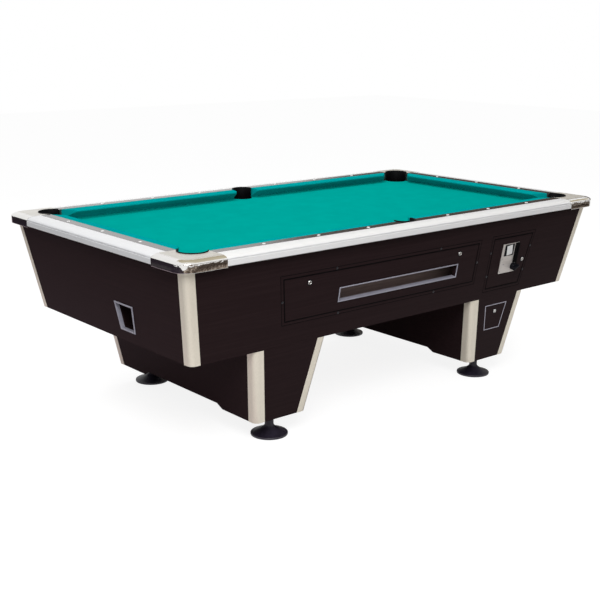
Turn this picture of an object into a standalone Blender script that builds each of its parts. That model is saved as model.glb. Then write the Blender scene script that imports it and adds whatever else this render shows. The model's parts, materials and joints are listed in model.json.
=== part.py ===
"""Coin-operated pool table: slate bed, cushioned rails, leaning cabinet, two pedestals and levelling feet.

Units are metres. X runs along the table, Y across it and Z up, with the origin on the floor under the middle.
The front is the long side at -Y, with the ball door and the coin door in it.
"""
import math

import bmesh
import bpy
from mathutils import Matrix, Vector

# Fits
TOUCH = 0.0003            # gap between pieces that touch
DOOR_GAP = 0.0015         # gap round the free edges of a door
HINGE_GAP = 0.0004        # gap at a door's hinged edge
LINER_FIT = 0.0005        # gap round a pocket liner
WELD = 0.002              # how far shapes that become one piece run into each other
THROUGH = 0.01            # how far a cutter runs past the face it cuts

# Playing bed
PLAY_LENGTH = 1.980       # cushion nose to cushion nose
PLAY_WIDTH = 0.990
RAIL_TOP = 0.796          # height of the rail tops above the floor
RAIL_HEIGHT = 0.042       # rail board, from the slate up
SLATE_THICKNESS = 0.022
SLATE_MARGIN = 0.090      # slate beyond the cushion noses

# Rails
CUSHION_DEPTH = 0.048     # nose to the rail board
NOSE_DROP = 0.006         # nose below the rail top
NOSE_HEIGHT = 0.005       # blunt front of the nose
CUSHION_TOP_FALL = 0.002  # fall of the cushion's top from the rail to the nose
NOSE_ROUND = 0.006        # rounding above the nose
CUSHION_LIFT = 0.012      # underside of the cushion above the slate
CUSHION_UNDERCUT = 0.028  # nose to the foot of the cushion
STRIP_WIDTH = 0.043       # laminate strip on the rail board
MOULDING_WIDTH = 0.0625   # strip edge to the outer face
MOULDING_DROP = 0.038     # rail top to the lower edge of the moulding
MOULDING_WALL = 0.003     # wall of the moulding's crown
MOULDING_SIDE = 0.005     # wall of the moulding's side, from the crown's edge inwards
MOULDING_EDGE = 0.002     # chamfer of the moulding's lower edge
CROWN_DROP = 0.0135       # fall of the crown from the strip to its outer edge
CROWN_SHAPE = 0.91        # 1 is an ellipse, less is squarer
CROWN_STEPS = 8
BAND_PROUD = 0.0025       # vertical band beyond the crown's edge
BAND_GROOVE = 0.003       # height of the groove between crown and band
BAND_GROOVE_DEPTH = 0.001
CASTING_ROUND = 0.061     # plan radius of the corner castings
CASTING_EDGE = 0.014      # radius of a casting's upper edge
CASTING_EDGE_STEPS = 4

# Pockets
POCKET_OFFSET = 0.015     # corner pocket centre outside the nose lines
POCKET_BORE = 0.054
MIDDLE_OFFSET = 0.041     # middle pocket centre outside the nose line
MIDDLE_BORE = 0.0435
LINER_WALL = 0.004
LINER_SHORT = 0.001       # liner's lower edge above the underside of the slate
LIP_WIDTH = 0.0055        # lip of a corner liner beyond its wall
MIDDLE_LIP = 0.002
LIP_HEIGHT = 0.004        # lip above the rail top
MOUTH_SETBACK = 0.010     # liner wall cut away from this far in front of the pocket centre
MOUTH_DROP = 0.0005       # cut of the liner's mouth below the slate's top
CORNER_MOUTH = 0.081      # cushion nose end to the corner of the nose lines
CORNER_CLEAR = 0.010      # back end of a cushion to a corner liner
MIDDLE_MOUTH = 0.060      # middle of the table to the cushion nose end
MIDDLE_CLEAR = 0.002      # back end of a cushion to a middle liner

# Cabinet
OVERHANG = 0.0318         # moulding beyond the top of the cabinet
CABINET_HEIGHT = 0.3593
SIDE_LEAN = 0.1828        # run of the front and back faces for each unit of height
END_LEAN = 0.1736
PANEL = 0.020             # panel thickness, measured level
POST_LEG = 0.041          # width of a corner trim on each face
TRIM_PROUD = 0.001        # corner trims stand proud of the boards
TRIM_ROUND = 0.022        # outer rounding of the corner trims
LEDGER_WIDTH = 0.018
LEDGER_HEIGHT = 0.030
LEDGER_CLEAR = 0.008      # end of a ledger to its neighbour
BASE_BOARD = 0.018

# Pedestals and feet
PEDESTAL_INSET = 0.2783   # cabinet end to the pedestal, at the cabinet's lower edge
PEDESTAL_LENGTH = 0.3494  # along the table, at the top
PEDESTAL_BOTTOM = 0.0887
OUTER_LEAN = 0.156
INNER_LEAN = 0.1835
PEDESTAL_WALL = 0.018
FLOOR_BOARD = 0.030       # board in a pedestal that takes the foot screws
FLOOR_RISE = 0.004        # floor board above the kick cut-outs
KICK_HEIGHT = 0.018       # cut-out under the pedestal's end boards
KICK_HALF = 0.250
KICK_RAMP = 0.032
TRIM_LEG = 0.0437
FOOT_INSET = 0.073        # pedestal face to the foot's centre, at the foot of the pedestal
FOOT_RADIUS = 0.0735
FOOT_RIM = 0.009
FOOT_CHAMFER = 0.003
FOOT_SHOULDER = 0.006     # step from the rim to the cone
FOOT_NECK = 0.0175
FOOT_CONE = 0.042         # height of the foot's cone
SCREW_RADIUS = 0.010
SCREW_SHORT = 0.001       # screw end below the top of the floor board

# Doors in the front panel, with heights above the cabinet's lower edge
FRAME_WIDTH = 0.0165      # door frame, from its outer groove to the door
GROOVE = 0.0025
GROOVE_DEPTH = 0.0015
DOOR_THICKNESS = 0.018
BALL_FRAME_UP = 0.0823
BALL_FRAME_HEIGHT = 0.1973
BALL_FRAME_INSET = 0.4086  # cabinet end to the ball door frame
DOOR_SPACING = 0.072       # ball door frame to coin door frame
COIN_FRAME_UP = 0.0305
COIN_FRAME_HEIGHT = 0.2536
COIN_FRAME_INSET = 0.3298
COIN_FRAME_LENGTH = 0.2395  # along its lower edge
WINDOW_UP = 0.1366
WINDOW_HEIGHT = 0.053
WINDOW_LEFT = 0.255        # lower left corner of the door to the window
WINDOW_RIGHT = 0.116       # right edge of the door to the window

# Coin mechanism
MECH_LEFT = 0.0635         # coin door edge to the mechanism's plate
MECH_WIDTH = 0.105
MECH_UP = 0.1056           # cabinet's lower edge to the plate
MECH_HEIGHT = 0.134
MECH_PLATE = 0.003         # outer face of the plate beyond the door
MECH_RIM = 0.008           # plate beyond the mechanism's body
MECH_DEPTH = 0.100
MECH_FIT = 0.0005
COIN_SLOT_WIDTH = 0.004
COIN_SLOT_HEIGHT = 0.030
COIN_SLOT_DEPTH = 0.060
COIN_SLOT_DROP = 0.018     # top of the plate to the slot
KNOB_RIGHT = 0.0175        # plate edge to the knob's axis
KNOB_UP = 0.027            # lower edge of the plate to the knob's axis
KNOB_RADIUS = 0.016
KNOB_LENGTH = 0.016
KNOB_CHAMFER = 0.002
KNOB_SHAFT = 0.005
KNOB_SHAFT_LENGTH = 0.030
GRIP_WIDTH = 0.007         # bar across the knob
GRIP_HEIGHT = 0.008

# Locks
LOCK_RADIUS = 0.0085
LOCK_FLANGE = 0.0110
LOCK_PROUD = 0.0025
CAM_LENGTH = 0.029
CAM_WIDTH = 0.014
CAM_THICKNESS = 0.003
CAM_CLEARANCE = 0.0038     # cam behind the board it holds on to
BALL_LOCK_LEFT = 0.119     # left edge of the ball door to its left lock, at the lock's height
BALL_LOCK_RIGHT = 0.110
BALL_LOCK_DROP = 0.0255    # top edge of the door to its locks
COIN_LOCK_RIGHT = 0.016    # right edge of the coin door to its lock, at the lock's height
COIN_LOCK_UP = 0.108
CASH_LOCK_DROP = 0.029

# Cash door and cash box
CASH_DROP = 0.0434         # cabinet's lower edge to the top of the cash door
CASH_HEIGHT = 0.112
CASH_WIDTH = 0.0955        # at its lower edge
CASH_DOOR_THICKNESS = 0.015
CASH_LEFT = 0.0955         # pedestal edge to the cash door, along its lower edge
CASH_BOX_LENGTH = 0.110
CASH_BOX_WIDTH = 0.170
CASH_BOX_HEIGHT = 0.088
CASH_BOX_WALL = 0.002
CASH_BOX_SETBACK = 0.012   # front wall of the pedestal to the cash box, at the floor board
COIN_DROP_LENGTH = 0.060   # hole in the base board over the cash box
COIN_DROP_WIDTH = 0.040
COIN_DROP_SETBACK = 0.050  # front of the cash box to the middle of the hole

# Cue-ball outlet in the left end
OUTLET_UP = 0.0496         # cabinet's lower edge to the outlet
OUTLET_HEIGHT = 0.100
OUTLET_CENTRE = 0.157      # in front of the middle of the end
OUTLET_WIDTH = 0.092       # at its lower edge
OUTLET_FLARE = 0.012       # wider by this much on each side at its upper edge
CUP_DEPTH = 0.100
CUP_WALL = 0.006
CUP_MARGIN = 0.006         # cup's inner walls outside the outlet
CUP_ENTRY = 0.070          # opening in the cup's roof for the ball

# Ball run under the bed, with heights above the cabinet's lower edge
RUN_BOARD = 0.008
RUN_INSET = 0.028          # clear of the cabinet panels
PAN_FALL = 0.017           # fall of the pans from the ends of the table to the gutter
PAN_CLEAR = 0.003          # coin mechanism to the underside of the pans
GUTTER_WIDTH = 0.080
GUTTER_BACK_UP = 0.2306
GUTTER_FRONT_UP = 0.1806
GUTTER_BED = 0.012         # gutter's sloping floor at its front end, above its bottom board
GUTTER_BEFORE_COIN = 0.035  # gutter's left wall before the coin door frame
DROP_WIDTH = 0.070         # hole in the gutter's floor over the tray
DROP_EDGE = 0.008          # front end of the gutter to the hole
DROP_LEDGE = 0.001         # gutter's floor left beside the hole
TRAY_FLOOR_UP = 0.1156
TRAY_WIDTH = 0.075
TRAY_LIP = 0.016
TRAY_SETBACK = 0.005       # behind the front panel
TRAY_BEYOND_WINDOW = 0.180
RUN_LEG = 0.030
RUN_LEG_SPREAD = 0.62      # legs along the table, from the middle
RUN_LEG_REACH = 0.38       # legs across the table, from the middle
GATE_THICKNESS = 0.006
GATE_HEIGHT = 0.060
GATE_SETBACK = 0.006       # hole in the gutter to the gate

# Values worked out from the sizes above
UP = Vector((0.0, 0.0, 1.0))
FRONT = Vector((0.0, -1.0, 0.0))
BACK = Vector((0.0, 1.0, 0.0))
LEFT = Vector((-1.0, 0.0, 0.0))
RIGHT = Vector((1.0, 0.0, 0.0))
SIDES = {"front": FRONT, "back": BACK, "left": LEFT, "right": RIGHT}
CORNERS = {"front_left": (-1, -1), "front_right": (1, -1), "back_left": (-1, 1), "back_right": (1, 1)}
RAIL_BOTTOM = RAIL_TOP - RAIL_HEIGHT
SLATE_TOP = RAIL_BOTTOM - TOUCH
NOSE_X = PLAY_LENGTH / 2
NOSE_Y = PLAY_WIDTH / 2
STRIP_EDGE = CUSHION_DEPTH + STRIP_WIDTH
CROWN_WIDTH = MOULDING_WIDTH - BAND_PROUD
OUTER = STRIP_EDGE + MOULDING_WIDTH
CORNER_X = NOSE_X + POCKET_OFFSET
CORNER_Y = NOSE_Y + POCKET_OFFSET
MIDDLE_Y = NOSE_Y + MIDDLE_OFFSET
CORNER_HOLE = POCKET_BORE + LINER_WALL + LINER_FIT
MIDDLE_HOLE = MIDDLE_BORE + LINER_WALL + LINER_FIT
CABINET_TOP = RAIL_BOTTOM - TOUCH
CABINET_BOTTOM = CABINET_TOP - CABINET_HEIGHT
BALL_FRAME_BOTTOM = CABINET_BOTTOM + BALL_FRAME_UP
BALL_FRAME_TOP = BALL_FRAME_BOTTOM + BALL_FRAME_HEIGHT
COIN_FRAME_BOTTOM = CABINET_BOTTOM + COIN_FRAME_UP
COIN_FRAME_TOP = COIN_FRAME_BOTTOM + COIN_FRAME_HEIGHT
WINDOW_BOTTOM = CABINET_BOTTOM + WINDOW_UP
WINDOW_TOP = WINDOW_BOTTOM + WINDOW_HEIGHT
MECH_BOTTOM = CABINET_BOTTOM + MECH_UP
MECH_TOP = MECH_BOTTOM + MECH_HEIGHT
CASH_TOP = CABINET_BOTTOM - CASH_DROP
CASH_BOTTOM = CASH_TOP - CASH_HEIGHT
OUTLET_BOTTOM = CABINET_BOTTOM + OUTLET_UP
OUTLET_TOP = OUTLET_BOTTOM + OUTLET_HEIGHT
GUTTER_BACK = CABINET_BOTTOM + GUTTER_BACK_UP
GUTTER_FRONT = CABINET_BOTTOM + GUTTER_FRONT_UP
TRAY_FLOOR = CABINET_BOTTOM + TRAY_FLOOR_UP
LEDGER_TOP = SLATE_TOP - SLATE_THICKNESS - TOUCH
BASE_TOP = CABINET_BOTTOM + BASE_BOARD
PEDESTAL_TOP = CABINET_BOTTOM - TOUCH
FLOOR_BOTTOM = PEDESTAL_BOTTOM + KICK_HEIGHT + FLOOR_RISE
FLOOR_TOP = FLOOR_BOTTOM + FLOOR_BOARD
FACE_LENGTH = math.hypot(1.0, SIDE_LEAN)   # distance along the front face for each unit of height
EDGE_LEAN = END_LEAN / FACE_LENGTH         # lean of the cabinet's end, seen square to the front face
MECH_HIGHEST = MECH_TOP + (MECH_DEPTH * SIDE_LEAN - MECH_RIM) / FACE_LENGTH   # inner end of the mechanism
PAN_LOW = MECH_HIGHEST + PAN_CLEAR + RUN_BOARD
PAN_HIGH = PAN_LOW + PAN_FALL


def beside(radius, offset):
    """How far along a rail a circle of this radius reaches, at this offset from its centre."""
    return math.sqrt(radius ** 2 - offset ** 2)


POCKET_JOINT = beside(CORNER_HOLE, CUSHION_DEPTH - POCKET_OFFSET) + TOUCH
RAIL_END_X = CORNER_X - POCKET_JOINT
RAIL_END_Y = CORNER_Y - POCKET_JOINT


def cabinet_x(height):
    """Half the cabinet's outside length at a height."""
    return NOSE_X + OUTER - OVERHANG - END_LEAN * (CABINET_TOP - height)


def cabinet_y(height):
    """Half the outside width of the cabinet and the pedestals at a height."""
    return NOSE_Y + OUTER - OVERHANG - SIDE_LEAN * (CABINET_TOP - height)


def pedestal_x(height):
    """Inner and outer distance of a pedestal's faces from the middle of the table at a height."""
    outer_top = cabinet_x(CABINET_BOTTOM) - PEDESTAL_INSET
    drop = CABINET_BOTTOM - height
    return outer_top - PEDESTAL_LENGTH + INNER_LEAN * drop, outer_top - OUTER_LEAN * drop


def along(height):
    """Distance up the front face from the cabinet's lower edge to a height."""
    return (height - CABINET_BOTTOM) * FACE_LENGTH


# Materials
def material(name, colour, roughness, metallic=0.0):
    made = bpy.data.materials.new(name)
    made.use_nodes = True
    shader = made.node_tree.nodes["Principled BSDF"]
    shader.inputs["Base Color"].default_value = (*colour, 1.0)
    shader.inputs["Roughness"].default_value = roughness
    shader.inputs["Metallic"].default_value = metallic
    return made


def add_materials():
    return {
        "laminate": material("black_laminate", (0.022, 0.013, 0.012), 0.45),
        "strip": material("rail_laminate", (0.30, 0.27, 0.24), 0.30),
        "moulding": material("satin_aluminium", (0.80, 0.81, 0.84), 0.35, 1.0),
        "trim": material("beige_aluminium", (0.62, 0.58, 0.50), 0.40, 1.0),
        "chrome": material("chrome", (0.78, 0.76, 0.72), 0.08, 1.0),
        "slate": material("slate", (0.10, 0.11, 0.12), 0.70),
        "cloth": material("teal_cloth", (0.0, 0.36, 0.33), 0.90),
        "liner": material("liner_rubber", (0.010, 0.010, 0.011), 0.60),
        "plywood": material("plywood", (0.30, 0.20, 0.12), 0.60),
        "foot": material("foot_plastic", (0.012, 0.013, 0.018), 0.50),
        "steel": material("steel", (0.55, 0.56, 0.58), 0.30, 1.0),
        "lock": material("lock_nickel", (0.62, 0.58, 0.50), 0.25, 1.0),
        "knob": material("knob_plastic", (0.012, 0.012, 0.013), 0.40),
    }


# Shapes
def clear_scene():
    for thing in list(bpy.data.objects):
        bpy.data.objects.remove(thing, do_unlink=True)


def collection(name):
    made = bpy.data.collections.new(name)
    bpy.context.scene.collection.children.link(made)
    return made


def tidy_mesh(mesh):
    """Weld loose caps and point the faces outwards."""
    shape = bmesh.new()
    shape.from_mesh(mesh)
    bmesh.ops.remove_doubles(shape, verts=shape.verts, dist=0.00001)
    bmesh.ops.recalc_face_normals(shape, faces=shape.faces)
    shape.to_mesh(mesh)
    shape.free()
    return mesh


def slab(outlines, low, high):
    """Mesh of a flat outline, with holes for any further outlines, from low to high along Z."""
    curve = bpy.data.curves.new("outline", "CURVE")
    curve.dimensions = "2D"
    curve.fill_mode = "BOTH"
    curve.extrude = (high - low) / 2
    for outline in outlines:
        spline = curve.splines.new("POLY")
        spline.points.add(len(outline) - 1)
        spline.use_cyclic_u = True
        for point, (x, y) in zip(spline.points, outline):
            point.co = (x, y, 0.0, 1.0)
    holder = bpy.data.objects.new("outline", curve)
    bpy.context.scene.collection.objects.link(holder)
    depsgraph = bpy.context.evaluated_depsgraph_get()
    mesh = bpy.data.meshes.new_from_object(holder.evaluated_get(depsgraph))
    bpy.data.objects.remove(holder, do_unlink=True)
    bpy.data.curves.remove(curve)
    mesh.transform(Matrix.Translation((0.0, 0.0, (low + high) / 2)))
    return tidy_mesh(mesh)


def block(low, high):
    """Mesh of a box between two corners."""
    size = Vector(high) - Vector(low)
    middle = (Vector(high) + Vector(low)) / 2
    shape = bmesh.new()
    bmesh.ops.create_cube(shape, size=1.0, matrix=Matrix.Translation(middle) @ Matrix.Diagonal((*size, 1.0)))
    mesh = bpy.data.meshes.new("block")
    shape.to_mesh(mesh)
    shape.free()
    return mesh


def frustum(low, low_x, low_y, high, high_x, high_y):
    """Mesh of a box with unlike lower and upper rectangles, each given by its limits along X and Y."""
    mesh = block((0.0, 0.0, 0.0), (1.0, 1.0, 1.0))
    for vertex in mesh.vertices:
        x, y, z = (round(value) for value in vertex.co)
        if z:
            vertex.co = (high_x[x], high_y[y], high)
        else:
            vertex.co = (low_x[x], low_y[y], low)
    return tidy_mesh(mesh)


def round_bar(radius, low, high, sides=32):
    """Mesh of a cylinder about Z."""
    shape = bmesh.new()
    place = Matrix.Translation((0.0, 0.0, (low + high) / 2))
    bmesh.ops.create_cone(
        shape, cap_ends=True, segments=sides, radius1=radius, radius2=radius, depth=high - low, matrix=place
    )
    mesh = bpy.data.meshes.new("bar")
    shape.to_mesh(mesh)
    shape.free()
    return mesh


def arc(centre, radius, start, end, steps):
    """Points of an arc, with angles in degrees."""
    points = []
    for step in range(steps + 1):
        angle = math.radians(start + (end - start) * step / steps)
        points.append((centre[0] + radius * math.cos(angle), centre[1] + radius * math.sin(angle)))
    return points


def rectangle(left, bottom, right, top):
    return [(left, bottom), (right, bottom), (right, top), (left, top)]


def shifted(outline, dx, dy):
    return [(x - dx, y - dy) for x, y in outline]


def columns(right, up, out, origin):
    """Matrix with these directions as its X, Y and Z."""
    frame = Matrix((right, up, out)).transposed().to_4x4()
    frame.translation = origin
    return frame


def moved(mesh, frame):
    mesh.transform(frame)
    return tidy_mesh(mesh)


ALONG_FRAME = columns(RIGHT, UP, FRONT, Vector())    # outline in X and Z, extruded across the table
ACROSS_FRAME = columns(BACK, UP, RIGHT, Vector())    # outline in Y and Z, extruded along the table


class Table:
    """The collections and materials, and the ways in which a piece is added to them."""

    def __init__(self):
        self.parts = collection("pool_table")
        self.cutters = collection("cutters")
        self.materials = add_materials()

    def add(self, name, mesh, finish, place=None):
        mesh.name = name
        mesh.materials.clear()
        mesh.materials.append(self.materials[finish])
        piece = bpy.data.objects.new(name, mesh)
        self.parts.objects.link(piece)
        piece.matrix_world = place or Matrix()
        return piece

    def boolean(self, piece, mesh, place, operation):
        tool = bpy.data.objects.new(piece.name + "_tool", mesh)
        self.cutters.objects.link(tool)
        tool.hide_render = True
        tool.display_type = "WIRE"
        tool.matrix_world = place or Matrix()
        change = piece.modifiers.new(operation.lower(), "BOOLEAN")
        change.operation = operation
        change.object = tool

    def cut(self, piece, mesh, place=None):
        self.boolean(piece, mesh, place, "DIFFERENCE")

    def join(self, piece, mesh, place=None):
        self.boolean(piece, mesh, place, "UNION")

    def turned(self, name, profile, finish, place, steps=32, ring=False):
        """A piece turned about its own Z axis, from a profile that runs from top to bottom."""
        edges = [(index, index + 1) for index in range(len(profile) - 1)]
        if ring:
            edges.append((len(profile) - 1, 0))
        mesh = bpy.data.meshes.new(name)
        mesh.from_pydata([(radius, 0.0, height) for radius, height in profile], edges, [])
        piece = self.add(name, mesh, finish, place)
        screw = piece.modifiers.new("turn", "SCREW")
        screw.steps = steps
        screw.render_steps = steps
        screw.use_merge_vertices = True
        screw.merge_threshold = 0.00001
        screw.use_smooth_shade = True
        return piece


def carry(piece, carrier):
    """Let a piece follow the one that carries it, without moving it."""
    piece.parent = carrier
    piece.matrix_parent_inverse = carrier.matrix_world.inverted()


# Frames of the faces
def right_of(out):
    """The right-hand side for someone who looks at a face from outside."""
    return Vector((-out.y, out.x, 0.0))


def leaning_frame(out, lean, origin):
    """Frame of a leaning board: its Y is height, its Z is level and points outwards."""
    return columns(right_of(out), UP + lean * out, out, origin)


def front_frame():
    """Frame of the front face: its Y runs up the face and its Z stands square to it."""
    up = (UP + SIDE_LEAN * FRONT).normalized()
    return columns(RIGHT, up, RIGHT.cross(up), Vector((0.0, -cabinet_y(CABINET_BOTTOM), CABINET_BOTTOM)))


def on_front(x, up):
    """Frame on the front face, moved to a point of it."""
    return front_frame() @ Matrix.Translation((x, up, 0.0))


def rail_frame(out):
    """Frame at a nose line: its X runs outwards, its Y up from the rail top and its Z along the rail."""
    half = NOSE_X if out.x else NOSE_Y
    return columns(out, UP, out.cross(UP), out * half + UP * RAIL_TOP)


# Outlines of the doors, in the front face's own X and Y
def ball_outline(inset):
    """Corners of the ball door frame, or of the opening inside it."""
    bottom = along(BALL_FRAME_BOTTOM) + inset
    top = along(BALL_FRAME_TOP) - inset
    left = -cabinet_x(CABINET_BOTTOM) + BALL_FRAME_INSET + inset
    right = coin_frame_left() - DOOR_SPACING - inset
    return [(left - EDGE_LEAN * bottom, bottom), (right, bottom), (right, top), (left - EDGE_LEAN * top, top)]


def coin_frame_left():
    return cabinet_x(CABINET_BOTTOM) - COIN_FRAME_INSET - COIN_FRAME_LENGTH


def coin_outline(inset):
    """Corners of the coin door frame, or of the opening inside it."""
    bottom = along(COIN_FRAME_BOTTOM) + inset
    top = along(COIN_FRAME_TOP) - inset
    left = coin_frame_left() + inset
    right = cabinet_x(CABINET_BOTTOM) - COIN_FRAME_INSET - inset
    return [(left, bottom), (right + EDGE_LEAN * bottom, bottom), (right + EDGE_LEAN * top, top), (left, top)]


def cash_outline():
    """Corners of the cash door's opening in the right pedestal."""
    bottom = along(CASH_BOTTOM)
    top = along(CASH_TOP)
    left = pedestal_x(CASH_BOTTOM)[0] + CASH_LEFT
    right = left + CASH_WIDTH
    rise = CASH_TOP - CASH_BOTTOM
    upper = [(right + OUTER_LEAN * rise, top), (left - INNER_LEAN * rise, top)]
    return [(left, bottom), (right, bottom)] + upper


def door_from(opening, hinge):
    """Corners of a door inside its opening, with the running gaps; hinge names the edge that carries it."""
    (left_low, low), (right_low, _), (right_high, high), (left_high, _) = opening
    gaps = {"bottom": DOOR_GAP, "left": DOOR_GAP}
    gaps[hinge] = HINGE_GAP
    low = low + gaps["bottom"]
    high = high - DOOR_GAP
    return [
        (left_low + gaps["left"], low),
        (right_low - DOOR_GAP, low),
        (right_high - DOOR_GAP, high),
        (left_high + gaps["left"], high),
    ]


# Bed and rails
def bay(side, radius, reach):
    """Outline of a middle pocket's bay, open towards the outside of the table."""
    points = arc((0.0, MIDDLE_Y), radius, 180, 360, 16) + [(radius, reach), (-radius, reach)]
    return [(x, side * y) for x, y in points]


def add_slate(table):
    half_x = NOSE_X + SLATE_MARGIN
    half_y = NOSE_Y + SLATE_MARGIN
    low = SLATE_TOP - SLATE_THICKNESS
    slate = table.add("slate_bed", block((-half_x, -half_y, low), (half_x, half_y, SLATE_TOP)), "slate")
    for x, y in CORNERS.values():
        hole = round_bar(CORNER_HOLE, low - THROUGH, SLATE_TOP + THROUGH)
        table.cut(slate, hole, Matrix.Translation((x * CORNER_X, y * CORNER_Y, 0.0)))
    for side in (-1, 1):
        table.cut(slate, slab([bay(side, MIDDLE_HOLE, half_y + THROUGH)], low - THROUGH, SLATE_TOP + THROUGH))


def add_cushion(table, name, out, low, high, jaw_low, jaw_high):
    """A cushion between two nose ends; each jaw is how far it runs on at its back."""
    back = CUSHION_DEPTH - TOUCH
    foot = -RAIL_HEIGHT + CUSHION_LIFT
    profile = [
        (0.0, -NOSE_DROP - NOSE_HEIGHT),
        (CUSHION_UNDERCUT, foot),
        (back, foot),
        (back, 0.0),
        (NOSE_ROUND, -CUSHION_TOP_FALL),
        (0.0, -NOSE_DROP),
    ]
    mesh = slab([profile], low, high)
    for vertex in mesh.vertices:
        jaw = jaw_high if vertex.co.z > (low + high) / 2 else -jaw_low
        vertex.co.z += jaw * vertex.co.x / CUSHION_DEPTH
    table.add(name, mesh, "cloth", rail_frame(out))


def add_cushions(table):
    corner_back = beside(CORNER_HOLE + CORNER_CLEAR, CUSHION_DEPTH - POCKET_OFFSET) - POCKET_OFFSET
    corner_jaw = CORNER_MOUTH - corner_back
    middle_jaw = MIDDLE_MOUTH - beside(MIDDLE_HOLE + MIDDLE_CLEAR, CUSHION_DEPTH - MIDDLE_OFFSET)
    long_end = NOSE_X - CORNER_MOUTH
    for side, ahead, behind in (("front", "left", "right"), ("back", "right", "left")):
        out = SIDES[side]
        add_cushion(table, f"cushion_{side}_{ahead}", out, MIDDLE_MOUTH, long_end, middle_jaw, corner_jaw)
        add_cushion(table, f"cushion_{side}_{behind}", out, -long_end, -MIDDLE_MOUTH, corner_jaw, middle_jaw)
    short_end = NOSE_Y - CORNER_MOUTH
    for side in ("left", "right"):
        add_cushion(table, f"cushion_{side}_end", SIDES[side], -short_end, short_end, corner_jaw, corner_jaw)


def crown(width, start):
    """Points of the moulding's rounded top, from the strip's edge outwards."""
    points = []
    for step in range(CROWN_STEPS + 1):
        angle = math.radians(90 * step / CROWN_STEPS)
        fall = CROWN_DROP * (1 - math.cos(angle) ** CROWN_SHAPE)
        points.append((STRIP_EDGE + width * math.sin(angle) ** CROWN_SHAPE, start - fall))
    return points


def rail_profile():
    """Rail board with the laminate strip on top and a tongue under the moulding."""
    tongue = crown(CROWN_WIDTH - MOULDING_SIDE - TOUCH, -MOULDING_WALL - TOUCH)
    strip = [(CUSHION_DEPTH, -RAIL_HEIGHT), (CUSHION_DEPTH, 0.0), (STRIP_EDGE - TOUCH, 0.0)]
    step = [(STRIP_EDGE - TOUCH, tongue[0][1])]
    return strip + step + tongue[1:] + [(tongue[-1][0], -RAIL_HEIGHT)]


def moulding_profile():
    """Moulding with a rounded crown, a groove and a vertical band."""
    edge = STRIP_EDGE + CROWN_WIDTH
    outer = STRIP_EDGE + MOULDING_WIDTH
    band = [
        (edge - BAND_GROOVE_DEPTH, -CROWN_DROP - BAND_GROOVE / 2),
        (outer, -CROWN_DROP - BAND_GROOVE),
        (outer, -MOULDING_DROP + MOULDING_EDGE),
        (outer - MOULDING_EDGE, -MOULDING_DROP),
        (edge - MOULDING_SIDE, -MOULDING_DROP),
    ]
    inside = crown(CROWN_WIDTH - MOULDING_SIDE, -MOULDING_WALL)
    return crown(CROWN_WIDTH, 0.0) + band + inside[::-1]


def add_rails(table):
    for side, out in SIDES.items():
        half = (RAIL_END_Y if out.x else RAIL_END_X) - TOUCH
        rail = table.add(f"rail_{side}", slab([rail_profile()], -half, half), "strip", rail_frame(out))
        table.add(f"moulding_{side}", slab([moulding_profile()], -half, half), "moulding", rail_frame(out))
        if out.y:
            notch = round_bar(MIDDLE_HOLE, RAIL_BOTTOM - THROUGH, RAIL_TOP + THROUGH)
            table.cut(rail, notch, Matrix.Translation((0.0, out.y * MIDDLE_Y, 0.0)))


def add_castings(table):
    outer_x = NOSE_X + OUTER
    outer_y = NOSE_Y + OUTER
    centre = (outer_x - CASTING_ROUND, outer_y - CASTING_ROUND)
    inner_start = -math.degrees(math.atan2(POCKET_JOINT, beside(CORNER_HOLE, POCKET_JOINT)))
    plan = [(outer_x, RAIL_END_Y)] + arc(centre, CASTING_ROUND, 0, 90, 10) + [(RAIL_END_X, outer_y)]
    pocket = arc((CORNER_X, CORNER_Y), CORNER_HOLE, 90 - inner_start, inner_start, 24)
    for name, (sx, sy) in CORNERS.items():
        outline = [(sx * x, sy * y) for x, y in plan + pocket]
        mesh = slab([outline], RAIL_TOP - MOULDING_DROP, RAIL_TOP)
        shape = bmesh.new()
        shape.from_mesh(mesh)
        bmesh.ops.dissolve_limit(shape, angle_limit=math.radians(1), verts=shape.verts, edges=shape.edges)
        rim = {(round(sx * x, 5), round(sy * y, 5)) for x, y in plan}
        edges = []
        for edge in shape.edges:
            ends = [(round(vertex.co.x, 5), round(vertex.co.y, 5)) for vertex in edge.verts]
            level = min(vertex.co.z for vertex in edge.verts) > RAIL_TOP - MOULDING_DROP / 2
            if level and ends[0] in rim and ends[1] in rim:
                edges.append(edge)
        bmesh.ops.bevel(
            shape, geom=edges, offset=CASTING_EDGE, segments=CASTING_EDGE_STEPS, profile=0.5, affect="EDGES"
        )
        shape.to_mesh(mesh)
        shape.free()
        mesh.shade_smooth()
        mesh.set_sharp_from_angle(angle=math.radians(35))
        table.add(f"corner_casting_{name}", mesh, "chrome")


def add_liner(table, name, centre, mouth, bore, lip):
    """A pocket liner: a tube with a lip on the rails, cut away on the side that faces the bed."""
    wall = bore + LINER_WALL
    profile = [
        (wall + lip, LIP_HEIGHT - TOUCH),
        (wall + lip, TOUCH),
        (wall, TOUCH),
        (wall, -RAIL_HEIGHT - SLATE_THICKNESS + LINER_SHORT),
        (bore, -RAIL_HEIGHT - SLATE_THICKNESS + LINER_SHORT),
        (bore, TOUCH),
        (bore + LINER_WALL / 2, LIP_HEIGHT),
    ]
    place = Matrix.Translation((*centre, RAIL_TOP))
    liner = table.turned(f"pocket_liner_{name}", profile, "liner", place, ring=True)
    reach = wall + lip + THROUGH
    opening = block((MOUTH_SETBACK, -reach, -RAIL_HEIGHT - MOUTH_DROP), (reach, reach, LIP_HEIGHT + THROUGH))
    table.cut(liner, opening, place @ Matrix.Rotation(mouth, 4, "Z"))


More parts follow.
